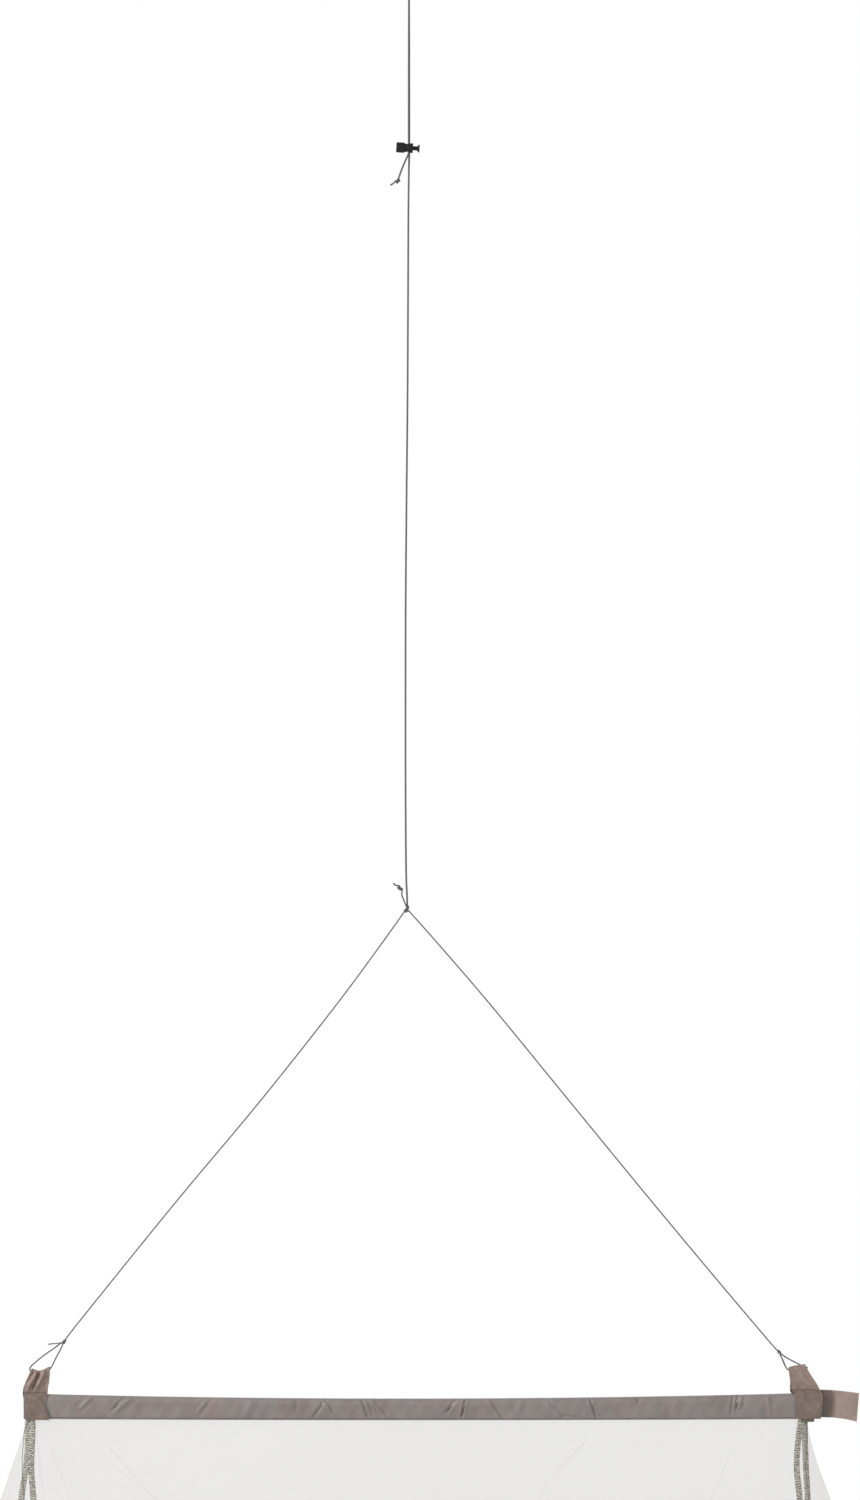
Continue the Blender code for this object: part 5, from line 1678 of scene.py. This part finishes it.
# Drops of the net's rows, close together near the sleeve, where the seams bend most.
net_drops = np.concatenate((
    np.linspace(-NET_RISE, NET_TOP_DEPTH, NET_TOP_ROWS),
    np.linspace(NET_TOP_DEPTH, NET_DROP - HEM_HEIGHT, NET_LOWER_ROWS)[1:],
    np.linspace(NET_DROP - HEM_HEIGHT, NET_DROP, HEM_ROWS)[1:],
))


def net_piece(name, grid, outward, flat, node):
    """A net sheet with its hem: the last rows turn up behind it and are held by a row of stitches."""
    hem = grid[-HEM_ROWS:][::-1] - outward * HEM_GAP
    turn = grid[-1:] - outward * HEM_GAP / 2 - np.array((0.0, 0.0, HEM_GAP / 2))
    stitch_line = (grid[-HEM_ROWS] + grid[1 - HEM_ROWS]) / 2 + outward[0] * HEM_THREAD_RISE
    stitches = stitched(
        name + "_hem_stitches", [(stitch_line, outward[0])], thread_tube("stitch", STITCH_PATH, HEM_THREAD),
        HEM_STITCH_PITCH, pale_thread, "net", sway=0.05, smallest=0.9, seed=11,
    )
    grid = np.concatenate((grid, turn, hem))
    rows, columns = grid.shape[:2]
    mesh = mesh_of_grid(
        name, grid, False, lambda row, column: (flat[0] * column / (columns - 1), flat[1] * row / (rows - 1))
    )
    normal = np.cross(np.gradient(grid, axis=1), np.gradient(grid, axis=0))
    normal /= np.linalg.norm(normal, axis=2)[..., None] + 1e-12
    facing = np.abs((normal * outward).sum(axis=2))
    close = mesh.attributes.new("closeness", "FLOAT", "POINT")
    close.data.foreach_set("value", (1 / np.clip(facing, LEAST_FACING, 1.0)).astype(np.float32).ravel())
    piece = finish_piece(add_object(name, mesh), tulle, "net", node)


net_edge = SEAM_WIDTH / 2 - NET_UNDER_SEAM
for face, side, shift, columns, flat in (
    # face, its side of the bar, shift of its folds, columns, flat size
    ("front", -1, 0.10, 201, (0.74, 1.58)),
    ("back", 1, 0.45, 141, (0.88, 1.58)),
):
    u, drop = np.meshgrid(np.linspace(0.0, 1.0, columns), net_drops)
    left = seam_x(face + "_left", drop) + net_edge
    right = seam_x(face + "_right", drop) - net_edge
    x = left + (right - left) * u
    crown = 1 + PANEL_CROWN * np.sin(math.pi * u)
    y = side * (half_depth(drop) * crown + flutes(u, drop, PANEL_FLUTES, shift))
    top = net_top(x)
    grid = np.stack((x, y, top + (HEM_Z - top) * drop / NET_DROP), axis=-1)
    outward = np.broadcast_to((0.0, float(side), 0.0), (1, columns, 3))
    net_piece(
        "net_panel_" + face, grid if side < 0 else grid[:, ::-1], outward, flat, "net_" + face,
    )

for end, side, shift in (("left", -1, 0.20), ("right", 1, 0.65)):
    u, drop = np.meshgrid(np.linspace(0.0, 1.0, GORE_COLUMNS), net_drops)
    front = seam_x("front_" + end, drop) + side * net_edge
    back = seam_x("back_" + end, drop) + side * net_edge
    push = flutes(u, drop, GORE_FLUTES, shift)
    bulge = (GORE_BULGE_START * np.clip(drop / GORE_START, 0.0, 1.0)
             + GORE_SLOPE * np.maximum(0.0, drop - GORE_START))
    x = front + (back - front) * u + side * (bulge + push) * np.sin(math.pi * u)
    y = -(half_depth(drop) + push) * np.cos(math.pi * u)
    top = net_top(x)
    grid = np.stack((x, y, top + (HEM_Z - top) * drop / NET_DROP), axis=-1)
    outward = np.zeros((1, GORE_COLUMNS, 3))
    outward[0, :, 0] = side * np.sin(math.pi * u[0])
    outward[0, :, 1] = -np.cos(math.pi * u[0])
    line = []
    for row in grid:
        arc = run_along(row)
        reach = min(GORE_STITCH_REACH, 0.45 * arc[-1])
        line.append([np.interp(reach, arc, (row + GORE_THREAD * outward[0])[:, axis]) for axis in range(3)])
    name = "gore_stitch_line_" + end
    stitch_line = add_object(name, thread_tube(name, line, GORE_THREAD, 5))
    finish_piece(stitch_line, olive_thread, "seam")
    if side < 0:
        grid, outward = grid[:, ::-1], outward[:, ::-1]
    net_piece("net_gore_" + end, grid, outward, GORE_FLAT, "net_end_" + end)
